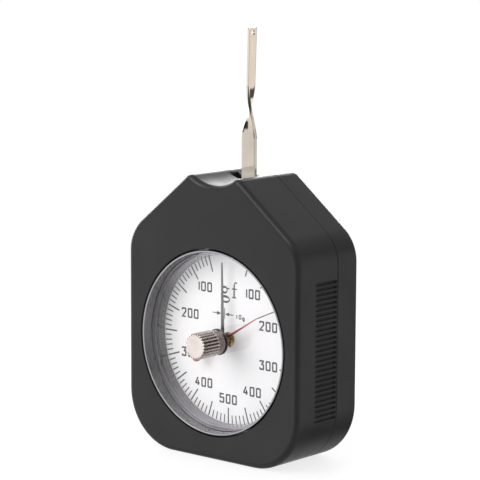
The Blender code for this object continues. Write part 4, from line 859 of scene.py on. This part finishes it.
def dial_printing():
    """All ink on the dial as one thin raised piece."""
    bm = bmesh.new()
    ticks(bm)
    for digits, x, z in FIGURES:
        figure(bm, digits, x, z, FIGURE_FACE)
    letters(bm)
    division_mark(bm)
    return finish_mesh(bm, "dial_printing")


# Lever
def between(low, high, share):
    """The value at this share of the way from low to high, held at both ends."""
    return low + (high - low) * min(1.0, max(0.0, share))


def strip_section(rise):
    """Width, thickness, twist and depth of the lever's middle at a height above its pivot."""
    if rise <= STRIP_TAPER_END:
        share = (rise - STRIP_TAPER_START) / (STRIP_TAPER_END - STRIP_TAPER_START)
        width = between(STRIP_WIDTH, NECK_WIDTH, share)
    else:
        share = (rise - STRIP_TAPER_END) / (TWIST_END - STRIP_TAPER_END)
        width = between(NECK_WIDTH, BLADE_ROOT_WIDTH, share)
    share = between(0.0, 1.0, (rise - TWIST_START) / (TWIST_END - TWIST_START))
    smooth = share - TWIST_EASE * math.sin(math.tau * share)
    lean = BLADE_ROOT_LEAN * smooth
    if rise > TWIST_END:
        up = (rise - TWIST_END) / (BLADE_TIP_RISE - TWIST_END)
        width = between(BLADE_ROOT_WIDTH, BLADE_TIP_WIDTH, up)
        lean = between(BLADE_ROOT_LEAN, BLADE_TIP_LEAN, up)
    thickness = between(STRIP_THICKNESS, BLADE_THICKNESS, smooth)
    return width, thickness, TWIST_ANGLE * smooth, STRIP_FRONT + STRIP_THICKNESS / 2 + lean


def section_ring(bm, rise, trim=0.0):
    """A strip section with eased edges, its wide faces in columns."""
    width, thickness, twist, depth = strip_section(rise)
    x, y = width / 2 - trim, thickness / 2
    corners = [(x, -y, STRIP_EDGE), (x, y, STRIP_EDGE), (-x, y, STRIP_EDGE), (-x, -y, STRIP_EDGE)]
    section = rounded(corners, STRIP_CORNER_STEP)
    turn = Matrix.Rotation(twist, 2)
    ring = []
    for i, (x, y) in enumerate(section):
        end = section[(i + 1) % len(section)][0]
        columns = STRIP_COLUMNS if i in BEFORE_FACES else 1
        for k in range(columns):
            px, py = turn @ Vector((x + (end - x) * k / columns, y))
            ring.append(bm.verts.new(at(px, depth + py, PIVOT + rise)))
    return ring


def lever_strip():
    """Contact lever: a flat strip with a round eye, twisted into an upright blade."""
    top = BLADE_TIP_RISE - BLADE_CORNER
    rises = [STRIP_EYE_RADIUS / 2, STRIP_TAPER_START]
    for low, high, count in (
        (STRIP_TAPER_START, TWIST_START, TAPER_SECTIONS),
        (TWIST_START, TWIST_END, TWIST_SECTIONS),
        (TWIST_END, top, BLADE_SECTIONS),
    ):
        rises += [between(low, high, k / count) for k in range(1, count + 1)]
    bm = bmesh.new()
    rings = [section_ring(bm, rise) for rise in rises]
    for sine, drop in quarter_turn(CORNER_SECTIONS)[1:]:
        rings.append(section_ring(bm, top + BLADE_CORNER * sine, BLADE_CORNER * drop))
    bridge_rings(bm, rings)
    strip = finish_mesh(bm, "lever_strip")
    rear = STRIP_FRONT + STRIP_THICKNESS
    eye = [
        (0.0, STRIP_FRONT),
        (STRIP_EYE_RADIUS, STRIP_FRONT, STRIP_EDGE),
        (STRIP_EYE_RADIUS, rear, STRIP_EDGE),
        (0.0, rear),
    ]
    join(strip, turned("eye", eye, HUB_STEPS, 0.0, PIVOT))
    holes = [(0.0, PIVOT, ARBOR_BORE_RADIUS)]
    holes += [(side * DOWEL_OFFSET, PIVOT, DOWEL_BORE_RADIUS) for side in (1, -1)]
    cut(strip, rods("strip_holes", holes, STRIP_FRONT - OVERRUN, rear + OVERRUN))
    rise = BLADE_TIP_RISE - BLADE_HOLE_DROP
    z, depth = PIVOT + rise, strip_section(rise)[3]
    hole = rods("blade_hole", [(0.0, z, BLADE_HOLE_RADIUS)], depth - OVERRUN, depth + OVERRUN)
    turn_piece(hole, at(0.0, depth, z), math.pi / 2, "Z")
    cut(strip, hole)
    return soften(strip, even=True)


# Pointers and their hubs
def eye_arc(radius, start, sweep):
    steps = max(2, round(sweep / math.tau * HUB_STEPS))
    angles = [start + sweep * k / steps for k in range(steps + 1)]
    return [(radius * math.sin(angle), radius * math.cos(angle)) for angle in angles]


def flat_pointer(name, outline, front, bore, angle):
    """A stamped pointer with a round hole in its eye, turned clockwise by the angle."""
    pointer = prism(name, outline, front, front + POINTER_THICKNESS)
    cut(pointer, bores("eye", [(0.0, 0.0)], bore, front - OVERRUN, front + OVERRUN, HUB_STEPS))
    turn_piece(pointer, at(0.0, 0.0, 0.0), angle, "Y")
    return soften(pointer)


def load_pointer():
    half_tip = ZERO_TIP_WIDTH / 2
    start = math.asin(ZERO_ROOT_WIDTH / 2 / POINTER_EYE_RADIUS)
    outline = [(-half_tip, ZERO_REACH), (half_tip, ZERO_REACH)]
    outline += eye_arc(POINTER_EYE_RADIUS, start, math.tau - 2 * start)
    return flat_pointer("load_pointer", outline, ZERO_FRONT, POINTER_NECK_RADIUS + FIT, ZERO_ANGLE)


def peak_hand():
    """Thin hand with a bent tip, and a round weight on its tail."""
    half_tip = PEAK_TIP_WIDTH / 2
    half_tail = PEAK_TAIL_WIDTH / 2
    eye = PEAK_HUB_RADIUS + half_tail
    start = math.asin(PEAK_ROOT_WIDTH / 2 / eye)
    tail_start = math.asin(half_tail / eye)
    weight_start = math.asin(half_tail / PEAK_WEIGHT_RADIUS)
    sweep = math.pi - start - tail_start
    across = PEAK_TAIL_REACH * math.sin(PEAK_TAIL_TURN)
    down = PEAK_TAIL_REACH * math.cos(PEAK_TAIL_TURN)
    outline = [
        (PEAK_TIP_DRIFT - half_tip, PEAK_REACH),
        (PEAK_TIP_DRIFT + half_tip, PEAK_REACH),
        (half_tip, PEAK_BEND_RADIUS),
    ]
    outline += eye_arc(eye, start, sweep)
    for x, z in eye_arc(PEAK_WEIGHT_RADIUS, weight_start, math.tau - 2 * weight_start):
        outline.append((x - across, z - down))
    outline += eye_arc(eye, math.pi + tail_start, sweep)
    outline.append((-half_tip, PEAK_BEND_RADIUS))
    return flat_pointer("peak_hand", outline, PEAK_FRONT, PEAK_NECK_RADIUS + FIT, PEAK_ANGLE)


def load_hub():
    shoulder = ZERO_FRONT + POINTER_THICKNESS + FIT
    bore = SHAFT_RADIUS + FIT
    profile = [
        (bore, ZERO_FRONT - FIT),
        (POINTER_NECK_RADIUS, ZERO_FRONT - FIT, FIT),
        (POINTER_NECK_RADIUS, shoulder),
        (POINTER_HUB_RADIUS, shoulder, TURNED_EDGE),
        (POINTER_HUB_RADIUS, POINTER_HUB_REAR, TURNED_EDGE),
        (bore, POINTER_HUB_REAR),
    ]
    return turned("load_hub", profile, HUB_STEPS)


def peak_boss():
    steps = [(PEAK_HUB_FRONT, PEAK_HUB_RADIUS), (PEAK_FRONT - FIT, PEAK_NECK_RADIUS)]
    profile = stepped(SPINDLE_RADIUS + FIT, steps, PEAK_HUB_REAR)
    return turned("peak_boss", profile, HUB_STEPS, fillet=FIT / 4)


# Reset knob
def flute_share(turn):
    """How deep the flute is at this share of a flute's pitch: a round groove, then a land."""
    away = abs(turn - 0.5) / FLUTE_HALF_SHARE
    return math.sqrt(1 - away**2) if away < 1 else 0.0


def knob_ring(bm, depth, radius, fluting=0.0):
    count = KNOB_FLUTES * FLUTE_POINTS
    ring = []
    for k in range(count):
        angle = math.tau * k / count + PEAK_ANGLE
        reach = radius - fluting * flute_share(k % FLUTE_POINTS / FLUTE_POINTS)
        ring.append(bm.verts.new(at(reach * math.sin(angle), depth, reach * math.cos(angle))))
    return ring


def fluted_knob():
    """Fluted knob: chamfered face, rounded flutes that run out before a smooth collar."""
    fluted_end = KNOB_FRONT + KNOB_FLUTED_LENGTH
    foot = KNOB_REAR - KNOB_FOOT_HEIGHT
    bm = bmesh.new()
    rings = [knob_ring(bm, KNOB_FRONT, KNOB_RADIUS - FLUTE_DEPTH - KNOB_CHAMFER)]
    for sine, drop in quarter_turn(CHAMFER_RINGS):
        radius = KNOB_RADIUS - KNOB_CHAMFER * (1 - sine)
        rings.append(knob_ring(bm, KNOB_FRONT + KNOB_CHAMFER * drop, radius, FLUTE_DEPTH))
    for k in range(RUN_OUT_RINGS + 1):
        share = k / RUN_OUT_RINGS
        depth = fluted_end - FLUTE_RUN_OUT * (1 - share)
        rings.append(knob_ring(bm, depth, KNOB_RADIUS, FLUTE_DEPTH * math.sqrt(1 - share**2)))
    for depth, radius in (
        (fluted_end + KNOB_RADIUS - KNOB_COLLAR_RADIUS, KNOB_COLLAR_RADIUS),
        (foot - TURNED_EDGE, KNOB_COLLAR_RADIUS),
        (foot, KNOB_COLLAR_RADIUS - TURNED_EDGE),
        (KNOB_REAR, KNOB_FOOT_RADIUS),
    ):
        rings.append(knob_ring(bm, depth, radius))
    bridge_rings(bm, rings)
    knob = finish_mesh(bm, "fluted_knob")
    bore = (KNOB_REAR - KNOB_BORE_DEPTH, KNOB_BORE_RADIUS)
    recess = (KNOB_REAR - KNOB_RECESS_DEPTH, KNOB_RECESS_RADIUS)
    profile = stepped(0.0, [bore, recess], KNOB_REAR + OVERRUN)
    cut(knob, turned("knob_bore", profile, HUB_STEPS))
    return soften(knob, even=True)


# Materials
class Graph:
    """The nodes of a material or of the world."""

    def __init__(self, tree):
        self.tree = tree

    def feed(self, socket, value):
        if isinstance(value, bpy.types.NodeSocket):
            self.tree.links.new(value, socket)
        else:
            socket.default_value = value

    def node(self, kind, inputs=(), **settings):
        """A new node, its inputs fed by name or number with values or other nodes' outputs."""
        made = self.tree.nodes.new("ShaderNode" + kind)
        for name, value in settings.items():
            setattr(made, name, value)
        for key, value in dict(inputs).items():
            self.feed(made.inputs[key], value)
        return made

    def math(self, operation, *values):
        return self.node("Math", enumerate(values), operation=operation).outputs[0]

    def product(self, first, *others):
        for other in others:
            first = self.math("MULTIPLY", first, other)
        return first

    def spread(self, factor, low, high, from_low=0.3, from_high=0.7, **settings):
        """Goes from low to high while the factor goes between its own two ends."""
        names = ("Value", "From Min", "From Max", "To Min", "To Max")
        inputs = zip(names, (factor, from_low, from_high, low, high))
        return self.node("MapRange", inputs, **settings).outputs[0]

    def share(self, factor, start, end):
        """0 up to the start and 1 from the end on."""
        return self.spread(factor, 0.0, 1.0, start, end)

    def blend(self, factor, low, high):
        """A colour between two, each given as a colour or an output."""
        inputs = {MIX_FACTOR: factor}
        for key, end in ((MIX_LOW_COLOUR, low), (MIX_HIGH_COLOUR, high)):
            inputs[key] = end if isinstance(end, bpy.types.NodeSocket) else (*end, 1.0)
        return self.node("Mix", inputs, data_type="RGBA").outputs[MIX_COLOUR_OUT]

    def mix(self, share, first, second):
        """One shader over another."""
        return self.node("MixShader", enumerate((share, first, second))).outputs[0]


class Finish(Graph):
    """A node material on the piece's own coordinates, with places on the gauge in millimetres."""

    def __init__(self, name, metallic=0.0):
        self.material = bpy.data.materials.new(name)
        self.material.use_nodes = True
        super().__init__(self.material.node_tree)
        self.surface = self.tree.nodes["Principled BSDF"]
        self.set("Metallic", metallic)
        self.coordinates = self.node("TexCoord").outputs["Object"]
        places = self.scaled((MM, MM, MM), (0.0, FRONT, AXIS))
        self.x, self.depth, self.rise = self.node("SeparateXYZ", {0: places}).outputs

    def set(self, socket, value):
        self.feed(self.surface.inputs[socket], value)

    def done(self, colour, roughness):
        self.set("Base Color", colour)
        self.set("Roughness", roughness)
        return self.material

    def cover(self, shader):
        """Shows this shader in place of the plain surface."""
        self.feed(self.tree.nodes["Material Output"].inputs["Surface"], shader)

    def scaled(self, per_metre, centre):
        """The coordinates from this centre, stretched by a count per metre along each axis."""
        offset = [-place * scale for place, scale in zip(centre, per_metre)]
        inputs = {"Vector": self.coordinates, "Location": offset, "Scale": per_metre}
        return self.node("Mapping", inputs, vector_type="POINT").outputs[0]

    def noise(self, per_metre, detail=2.0, centre=(0.0, 0.0, 0.0)):
        if isinstance(per_metre, float):
            per_metre = (per_metre, per_metre, per_metre)
        inputs = {"Vector": self.scaled(per_metre, centre), "Scale": 1.0, "Detail": detail}
        return self.node("TexNoise", inputs, noise_dimensions="3D").outputs["Fac"]

    def mottled(self, noise, dark, light):
        return self.blend(self.spread(noise, 0.0, 1.0), dark, light)

    def emboss(self, height, distance, strength):
        inputs = {"Height": height, "Distance": distance, "Strength": strength}
        self.set("Normal", self.node("Bump", inputs).outputs["Normal"])

    def streaks(self, lines):
        """Lines over a slow drift of tint."""
        drift = self.product(self.noise(160.0), 1 - LINE_SHARE)
        return self.math("MULTIPLY_ADD", lines, LINE_SHARE, drift)

    def turning(self, rings_per_mm):
        """Tool marks: rings about the dial's axis on flat faces, lines along the depth on walls."""
        rings = self.math("SINE", self.product(self.radius(), math.tau * rings_per_mm))
        walls = self.noise(TOOL_MARKS, 2.0, (0.0, 0.0, AXIS))
        self.emboss(self.math("MULTIPLY_ADD", rings, 0.25, walls), 0.000004, 0.5)
        return walls

    def radius(self):
        """Distance from the dial's axis."""
        squares = self.product(self.x, self.x)
        return self.math("SQRT", self.math("MULTIPLY_ADD", self.rise, self.rise, squares))

    def painted_sheen(self):
        """How far the wall round the dial is painted as pale metal, a painted reflection: most at
        its top and bottom.
        """
        top = self.spread(self.rise, *PAINTED_SHEEN_TOP)
        return self.math("ADD", top, self.spread(self.rise, *PAINTED_SHEEN_BOTTOM))


def case_finish():
    """Matt black moulding: fine spark-eroded grain, faint clouding of colour and gloss."""
    finish = Finish("case_plastic")
    finish.set("Specular IOR Level", 0.32)
    finish.emboss(finish.noise(5200.0), 0.00001, 0.4)
    clouds = finish.noise(60.0, 3.0)
    colour = finish.mottled(clouds, (0.0165, 0.0165, 0.017), (0.0215, 0.0215, 0.022))
    return finish.done(colour, finish.spread(finish.noise(240.0, 3.0), 0.3, 0.37))


def ring_finish():
    """Glossy dark ring that mirrors the dial, matt before the crystal, with painted highlights on
    its lip and on the ledge behind the crystal, and a painted reflection of pale metal at its top
    and bottom.
    """
    finish = Finish("ring_finish")
    finish.set("IOR", 2.1)
    clouds = finish.noise(130.0)
    outside = finish.share(finish.depth, CRYSTAL_FRONT, CRYSTAL_FRONT - 0.4)
    # Painted reflection: the wall behind the crystal turns to pale metal at its top and bottom
    painted_sheen = finish.product(finish.painted_sheen(), finish.math("SUBTRACT", 1.0, outside))
    finish.set("Metallic", painted_sheen)
    dark = finish.mottled(clouds, (0.012, 0.011, 0.014), (0.019, 0.018, 0.021))
    wall = finish.blend(outside, finish.blend(painted_sheen, dark, PAINTED_SHEEN_COLOUR), (0.03, 0.03, 0.034))
    above = finish.share(finish.depth, CRYSTAL_REAR - 0.1, CRYSTAL_REAR - 0.03)
    below = finish.share(finish.depth, CRYSTAL_REAR + 0.15, CRYSTAL_REAR + 0.08)
    # Painted highlight: a pale band on the ledge behind the crystal, paler at top and bottom
    ledge_highlight = finish.blend(finish.painted_sheen(), (0.2, 0.194, 0.207), (0.5, 0.48, 0.52))
    wall = finish.blend(finish.product(above, below), wall, ledge_highlight)
    # Painted highlight: the lip at the ring's front painted pale
    lip = finish.share(finish.depth, 0.3, 0.05)
    colour = finish.blend(lip, wall, (0.28, 0.27, 0.29))
    gloss = finish.spread(clouds, 0.02, 0.03)
    return finish.done(colour, finish.math("MULTIPLY_ADD", outside, 0.2, gloss))


def crystal_finish():
    """Clear acrylic that lets the lamp's light through to the dial, its rim coated as by cement,
    the coat painted pale at its top and bottom as a painted reflection.
    """
    finish = Finish("crystal_finish")
    finish.set("Transmission Weight", 1.0)
    finish.set("IOR", 1.49)
    path = finish.node("LightPath").outputs
    passing = finish.math("MAXIMUM", path["Is Shadow Ray"], path["Is Diffuse Ray"])
    clear = finish.node("BsdfTransparent").outputs[0]
    disc = finish.mix(passing, finish.surface.outputs[0], clear)
    # Painted reflection: the rim's coat is pale at the top and bottom
    coat = finish.blend(finish.painted_sheen(), (0.19, 0.185, 0.2), PAINTED_SHEEN_COLOUR)
    cement = finish.node("BsdfDiffuse", {"Color": coat}).outputs[0]
    rim = finish.share(finish.radius(), CRYSTAL_RADIUS - 0.1, CRYSTAL_RADIUS - 0.03)
    finish.cover(finish.mix(rim, disc, cement))
    haze = finish.noise(90.0, 3.0)
    return finish.done(finish.mottled(haze, (0.985, 0.99, 0.99), (1.0, 1.0, 1.0)), 0.0)


def dial_finish():
    """Painted dial: cool white with a faint orange-peel surface."""
    finish = Finish("dial_finish")
    peel = finish.noise(1400.0)
    finish.emboss(peel, 0.000006, 0.3)
    colour = finish.mottled(finish.noise(45.0), (0.85, 0.835, 0.85), (0.88, 0.865, 0.875))
    return finish.done(colour, finish.spread(peel, 0.36, 0.5))


def ink_finish():
    finish = Finish("ink_finish")
    speckle = finish.noise(2600.0)
    colour = finish.mottled(speckle, (0.006, 0.006, 0.008), (0.018, 0.017, 0.02))
    return finish.done(colour, finish.spread(speckle, 0.4, 0.6))


def brushed_metal(name, dark, light, low_rough, high_rough, stretch):
    """Drawn or rolled metal: fine lines along one axis, slow drift of tint and gloss."""
    finish = Finish(name, 1.0)
    lines = finish.noise(stretch, 3.0)
    finish.emboss(lines, 0.000003, 0.6)
    colour = finish.mottled(finish.streaks(lines), dark, light)
    return finish.done(colour, finish.spread(lines, low_rough, high_rough))


def lever_finish():
    """Polished nickel strip: duller towards its foot, with faint rolling lines, its upper part
    painted paler and warmer as a painted sheen.
    """
    finish = Finish("strip_nickel")
    finish.set("Metallic", finish.spread(finish.rise, *LEVER_SHINE))
    lines = finish.noise(ALONG_STRIP, 3.0)
    finish.emboss(lines, 0.000002, 0.5)
    tint = finish.streaks(lines)
    low = finish.mottled(tint, (0.60, 0.55, 0.46), (0.72, 0.64, 0.56))
    # Painted sheen: the upper part's colour is paler and warmer than the lower, standing in for the
    # blade's reflection
    high = finish.mottled(tint, (0.84, 0.71, 0.59), (0.93, 0.80, 0.68))
    colour = finish.blend(finish.share(finish.rise, *LEVER_PAINTED_SHEEN), low, high)
    return finish.done(colour, finish.spread(lines, 0.08, 0.13))


def turned_metal(name, dark, light, low_rough, high_rough, rings_per_mm):
    """Lathe-turned metal with a slow drift of tint."""
    finish = Finish(name, 1.0)
    walls = finish.turning(rings_per_mm)
    colour = finish.mottled(finish.noise(200.0), dark, light)
    return finish.done(colour, finish.spread(walls, low_rough, high_rough))


def knob_finish():
    """Bright faced end, duller fluted wall and brown-grey collar, partly a different finish and
    partly painted shade; dark grooves as painted shade and a bright foot as a painted highlight.
    """
    finish = Finish("knob_nickel", 1.0)
    walls = finish.turning(9.0)
    drift = finish.spread(finish.noise(260.0), 0.0, 1.0)
    flutes_end = KNOB_FRONT + KNOB_FLUTED_LENGTH
    # The fluted wall and the collar are darker than the face: partly a duller finish, partly
    # painted shade
    ridge = finish.blend(drift, (0.46, 0.41, 0.38), (0.62, 0.56, 0.52))
    # Painted shade: the grooves are dark where shade falls in them
    sunk = finish.share(finish.radius(), KNOB_RADIUS - 0.18, KNOB_RADIUS - 0.4)
    wall = finish.blend(sunk, ridge, (0.09, 0.075, 0.07))
    collar = finish.blend(drift, (0.2, 0.172, 0.158), (0.28, 0.243, 0.226))
    past = finish.share(finish.depth, flutes_end - 0.1, flutes_end + 0.1)
    foot_start = KNOB_REAR - KNOB_FOOT_HEIGHT
    # Painted highlight: a pale band round the foot's edge
    foot = finish.share(finish.depth, foot_start - 0.1, KNOB_REAR - 0.3)
    body = finish.blend(foot, finish.blend(past, wall, collar), (0.62, 0.57, 0.53))
    face = finish.blend(drift, (0.93, 0.83, 0.77), (1.0, 0.9, 0.85))
    end = finish.share(finish.depth, KNOB_FRONT + 0.3, KNOB_FRONT + 0.05)
    return finish.done(finish.blend(end, body, face), finish.spread(walls, 0.2, 0.3))


def peak_finish():
    """Red lacquer: deep red at the hub, pinker further out, the tip's end dark grey as a painted
    reflection.
    """
    finish = Finish("peak_finish")
    radius = finish.radius()
    fade = finish.share(radius, *PEAK_PINK)
    red = finish.blend(fade, (0.10, 0.004, 0.006), (0.46, 0.06, 0.085))
    # Painted reflection: the tip's end is dark grey
    tip = finish.share(radius, *PEAK_TIP_PAINTED_REFLECTION)
    colour = finish.blend(tip, red, (0.045, 0.038, 0.042))
    return finish.done(colour, finish.spread(finish.noise(900.0), 0.3, 0.46))


def pointer_finish():
    """Black lacquer near the hub, dark grey further along the hand."""
    finish = Finish("pointer_finish")
    speckle = finish.noise(1200.0)
    grey = finish.mottled(speckle, (0.075, 0.072, 0.078), (0.11, 0.105, 0.112))
    fade = finish.share(finish.radius(), *POINTER_GREY)
    colour = finish.blend(fade, (0.008, 0.008, 0.009), grey)
    return finish.done(colour, finish.spread(speckle, 0.32, 0.46))


def dress(piece, material, body, slot, *nodes):
    """Gives a piece its finish, says what it rides on and hides the imported parts that it stands
    for.
    """
    piece.data.materials.clear()
    piece.data.materials.append(material)
    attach(piece, body)
    if nodes:
        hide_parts(*nodes)


def dress_pieces():
    plastic = case_finish()
    ring = ring_finish()
    nickel = brushed_metal(
        "spring_nickel", (0.84, 0.74, 0.64), (0.93, 0.83, 0.73), 0.08, 0.14, ALONG_STRIP
    )
    brass = turned_metal("hub_brass", (0.10, 0.055, 0.02), (0.36, 0.23, 0.085), 0.12, 0.22, 8.0)
    brass_plate = brushed_metal(
        "plate_brass", (0.52, 0.37, 0.16), (0.72, 0.54, 0.27), 0.26, 0.38, UP_PLATES
    )
    steel = turned_metal("screw_steel", (0.36, 0.36, 0.37), (0.56, 0.56, 0.57), 0.26, 0.38, 6.0)
    dress(housing_shell(), plastic, "case", "black_plastic", "front_housing")
    dress(cover_shell(), plastic, "case", "black_plastic", "rear_cover")
    for i, (x, z) in enumerate(mirrored(COVER_SCREWS), 1):
        screw = cover_screw(f"back_screw_{i}", x, z)
        dress(screw, steel, "case", "steel", f"cover_screw_{i}")
    dress(sight_ring(), ring, "case", "dark_ring", "bezel_ring")
    dress(crystal_disc(), crystal_finish(), "case", "clear_crystal", "crystal")
    dress(knob_collar(), ring, "case", "dark_ring", "knob_bushing")
    dress(dial_face(), dial_finish(), "case", "dial_white", "dial_plate")
    dress(dial_printing(), ink_finish(), "case", "pointer_black")
    dress(lever_strip(), lever_finish(), "lever", "nickel", "feeler_lever")
    dress(load_pointer(), pointer_finish(), "pointer", "pointer_black", "zero_pointer")
    dress(load_hub(), brass, "pointer", "brass", "pointer_hub")
    dress(peak_hand(), peak_finish(), "peak", "pointer_red", "peak_pointer")
    dress(peak_boss(), brass, "peak", "brass", "peak_hub")
    dress(fluted_knob(), knob_finish(), "peak", "nickel", "reset_knob")
    finishes = {"brass": brass_plate, "steel": steel, "nickel": nickel}
    for node in frame["nodes"].values():
        for place in node.material_slots:
            name = place.material.name.split(".")[0] if place.material else ""
            if name in finishes:
                place.material = finishes[name]


# Stage, lamp and camera
def stage():
    """A pale floor that fades into the white behind it and keeps the gauge's shadow."""
    bm = bmesh.new()
    bmesh.ops.create_circle(bm, cap_ends=True, segments=FLOOR_SEGMENTS, radius=FLOOR_RADIUS)
    floor = piece_of(bm, "floor")
    finish = Finish("floor_white")
    glow = finish.node("Emission", {"Strength": FLOOR_GLOW}).outputs[0]
    clear = finish.node("BsdfTransparent").outputs[0]
    path = finish.node("LightPath").outputs
    share = finish.product(path["Is Camera Ray"], FLOOR_GLOW_SHARE)
    lit = finish.mix(share, finish.surface.outputs[0], glow)
    away = finish.node("VectorMath", {0: finish.coordinates}, operation="LENGTH").outputs["Value"]
    edge = finish.share(away, *FLOOR_FADE)
    finish.cover(finish.mix(finish.math("MAXIMUM", edge, path["Is Glossy Ray"]), lit, clear))
    floor.data.materials.append(finish.done((0.86, 0.86, 0.86, 1.0), 0.6))


def world():
    """White to the camera, a studio with a dark front to gloss, even light on dull surfaces."""
    made = bpy.data.worlds.new("studio")
    bpy.context.scene.world = made
    made.use_nodes = True
    made.node_tree.nodes.clear()
    nodes = Graph(made.node_tree)
    direction = nodes.node("TexCoord").outputs["Generated"]
    across, _, rise = nodes.node("SeparateXYZ", {0: direction}).outputs

    def ramp(source, low, high, from_low, from_high):
        kind = "SMOOTHSTEP"
        return nodes.spread(source, low, high, from_low, from_high, interpolation_type=kind)

    def towards(azimuth):
        """How much the direction points this way round the gauge, from its front."""
        way = (math.sin(azimuth), -math.cos(azimuth), 0.0)
        inputs = {0: direction, 1: way}
        return nodes.node("VectorMath", inputs, operation="DOT_PRODUCT").outputs["Value"]

    def light(strength):
        inputs = {"Color": (1.0, 1.0, 1.0, 1.0), "Strength": strength}
        return nodes.node("Background", inputs).outputs[0]

    shades = [ramp(towards(DARK_AZIMUTH), *DARK_FADE), ramp(across, *RIGHT_FADE)]
    shades += [ramp(rise, *fade) for fade in RISE_FADES]
    for azimuth, half_width, low, high, strength in STUDIO_CARDS:
        aside = nodes.math("ABSOLUTE", towards(azimuth + math.pi / 2))
        reach = math.sin(half_width)
        card = nodes.product(
            ramp(aside, 1.0, 0.0, reach - CARD_INNER_BLUR, reach + CARD_OUTER_BLUR),
            ramp(towards(azimuth), 0.0, 1.0, 0.0, CARD_FACING_BLUR),
            ramp(rise, 0.0, 1.0, low - CARD_END_BLUR, low),
            ramp(rise, 1.0, 0.0, high, high + CARD_END_BLUR),
        )
        shades.append(ramp(card, 1.0, strength, 0.0, 1.0))
    path = nodes.node("LightPath").outputs
    unseen = nodes.mix(path["Is Glossy Ray"], light(SOFT_LIGHT), light(nodes.product(*shades)))
    seen = nodes.math("MAXIMUM", path["Is Camera Ray"], path["Is Transmission Ray"])
    nodes.node("OutputWorld", {"Surface": nodes.mix(seen, unseen, light(1.0))})


def lamp():
    """A square soft lamp aimed at the middle of the gauge, which gloss doesn't mirror."""
    light = bpy.data.lights.new("key", "AREA")
    light.shape = "SQUARE"
    light.size = LAMP_SIZE
    light.energy = LAMP_POWER
    made = stand("key", light)
    made.visible_glossy = False
    made.location = LAMP_PLACE
    aim = Vector(LAMP_PLACE) - at(0.0, REAR / 2, 0.0)
    made.rotation_euler = aim.to_track_quat("Z", "Y").to_euler()


def camera():
    """The camera at the photograph's viewing angle."""
    turn = Matrix.Translation(at(0.0, REAR / 2, 0.0))
    turn @= Matrix.Rotation(CAMERA_AZIMUTH, 4, "Z")
    turn @= Matrix.Rotation(math.pi / 2 - CAMERA_ELEVATION, 4, "X")
    turn @= Matrix.Rotation(CAMERA_ROLL, 4, "Z")
    back = Matrix.Translation((-CAMERA_ACROSS, -CAMERA_DOWN, CAMERA_DISTANCE))
    data = bpy.data.cameras.new("portrait")
    data.lens = FOCAL_PIXELS / IMAGE_PIXELS * data.sensor_width
    made = stand("portrait", data)
    made.matrix_world = turn @ back
    bpy.context.scene.camera = made


dress_pieces()
stage()
world()
lamp()
camera()
bpy.context.scene.view_settings.view_transform = "Standard"
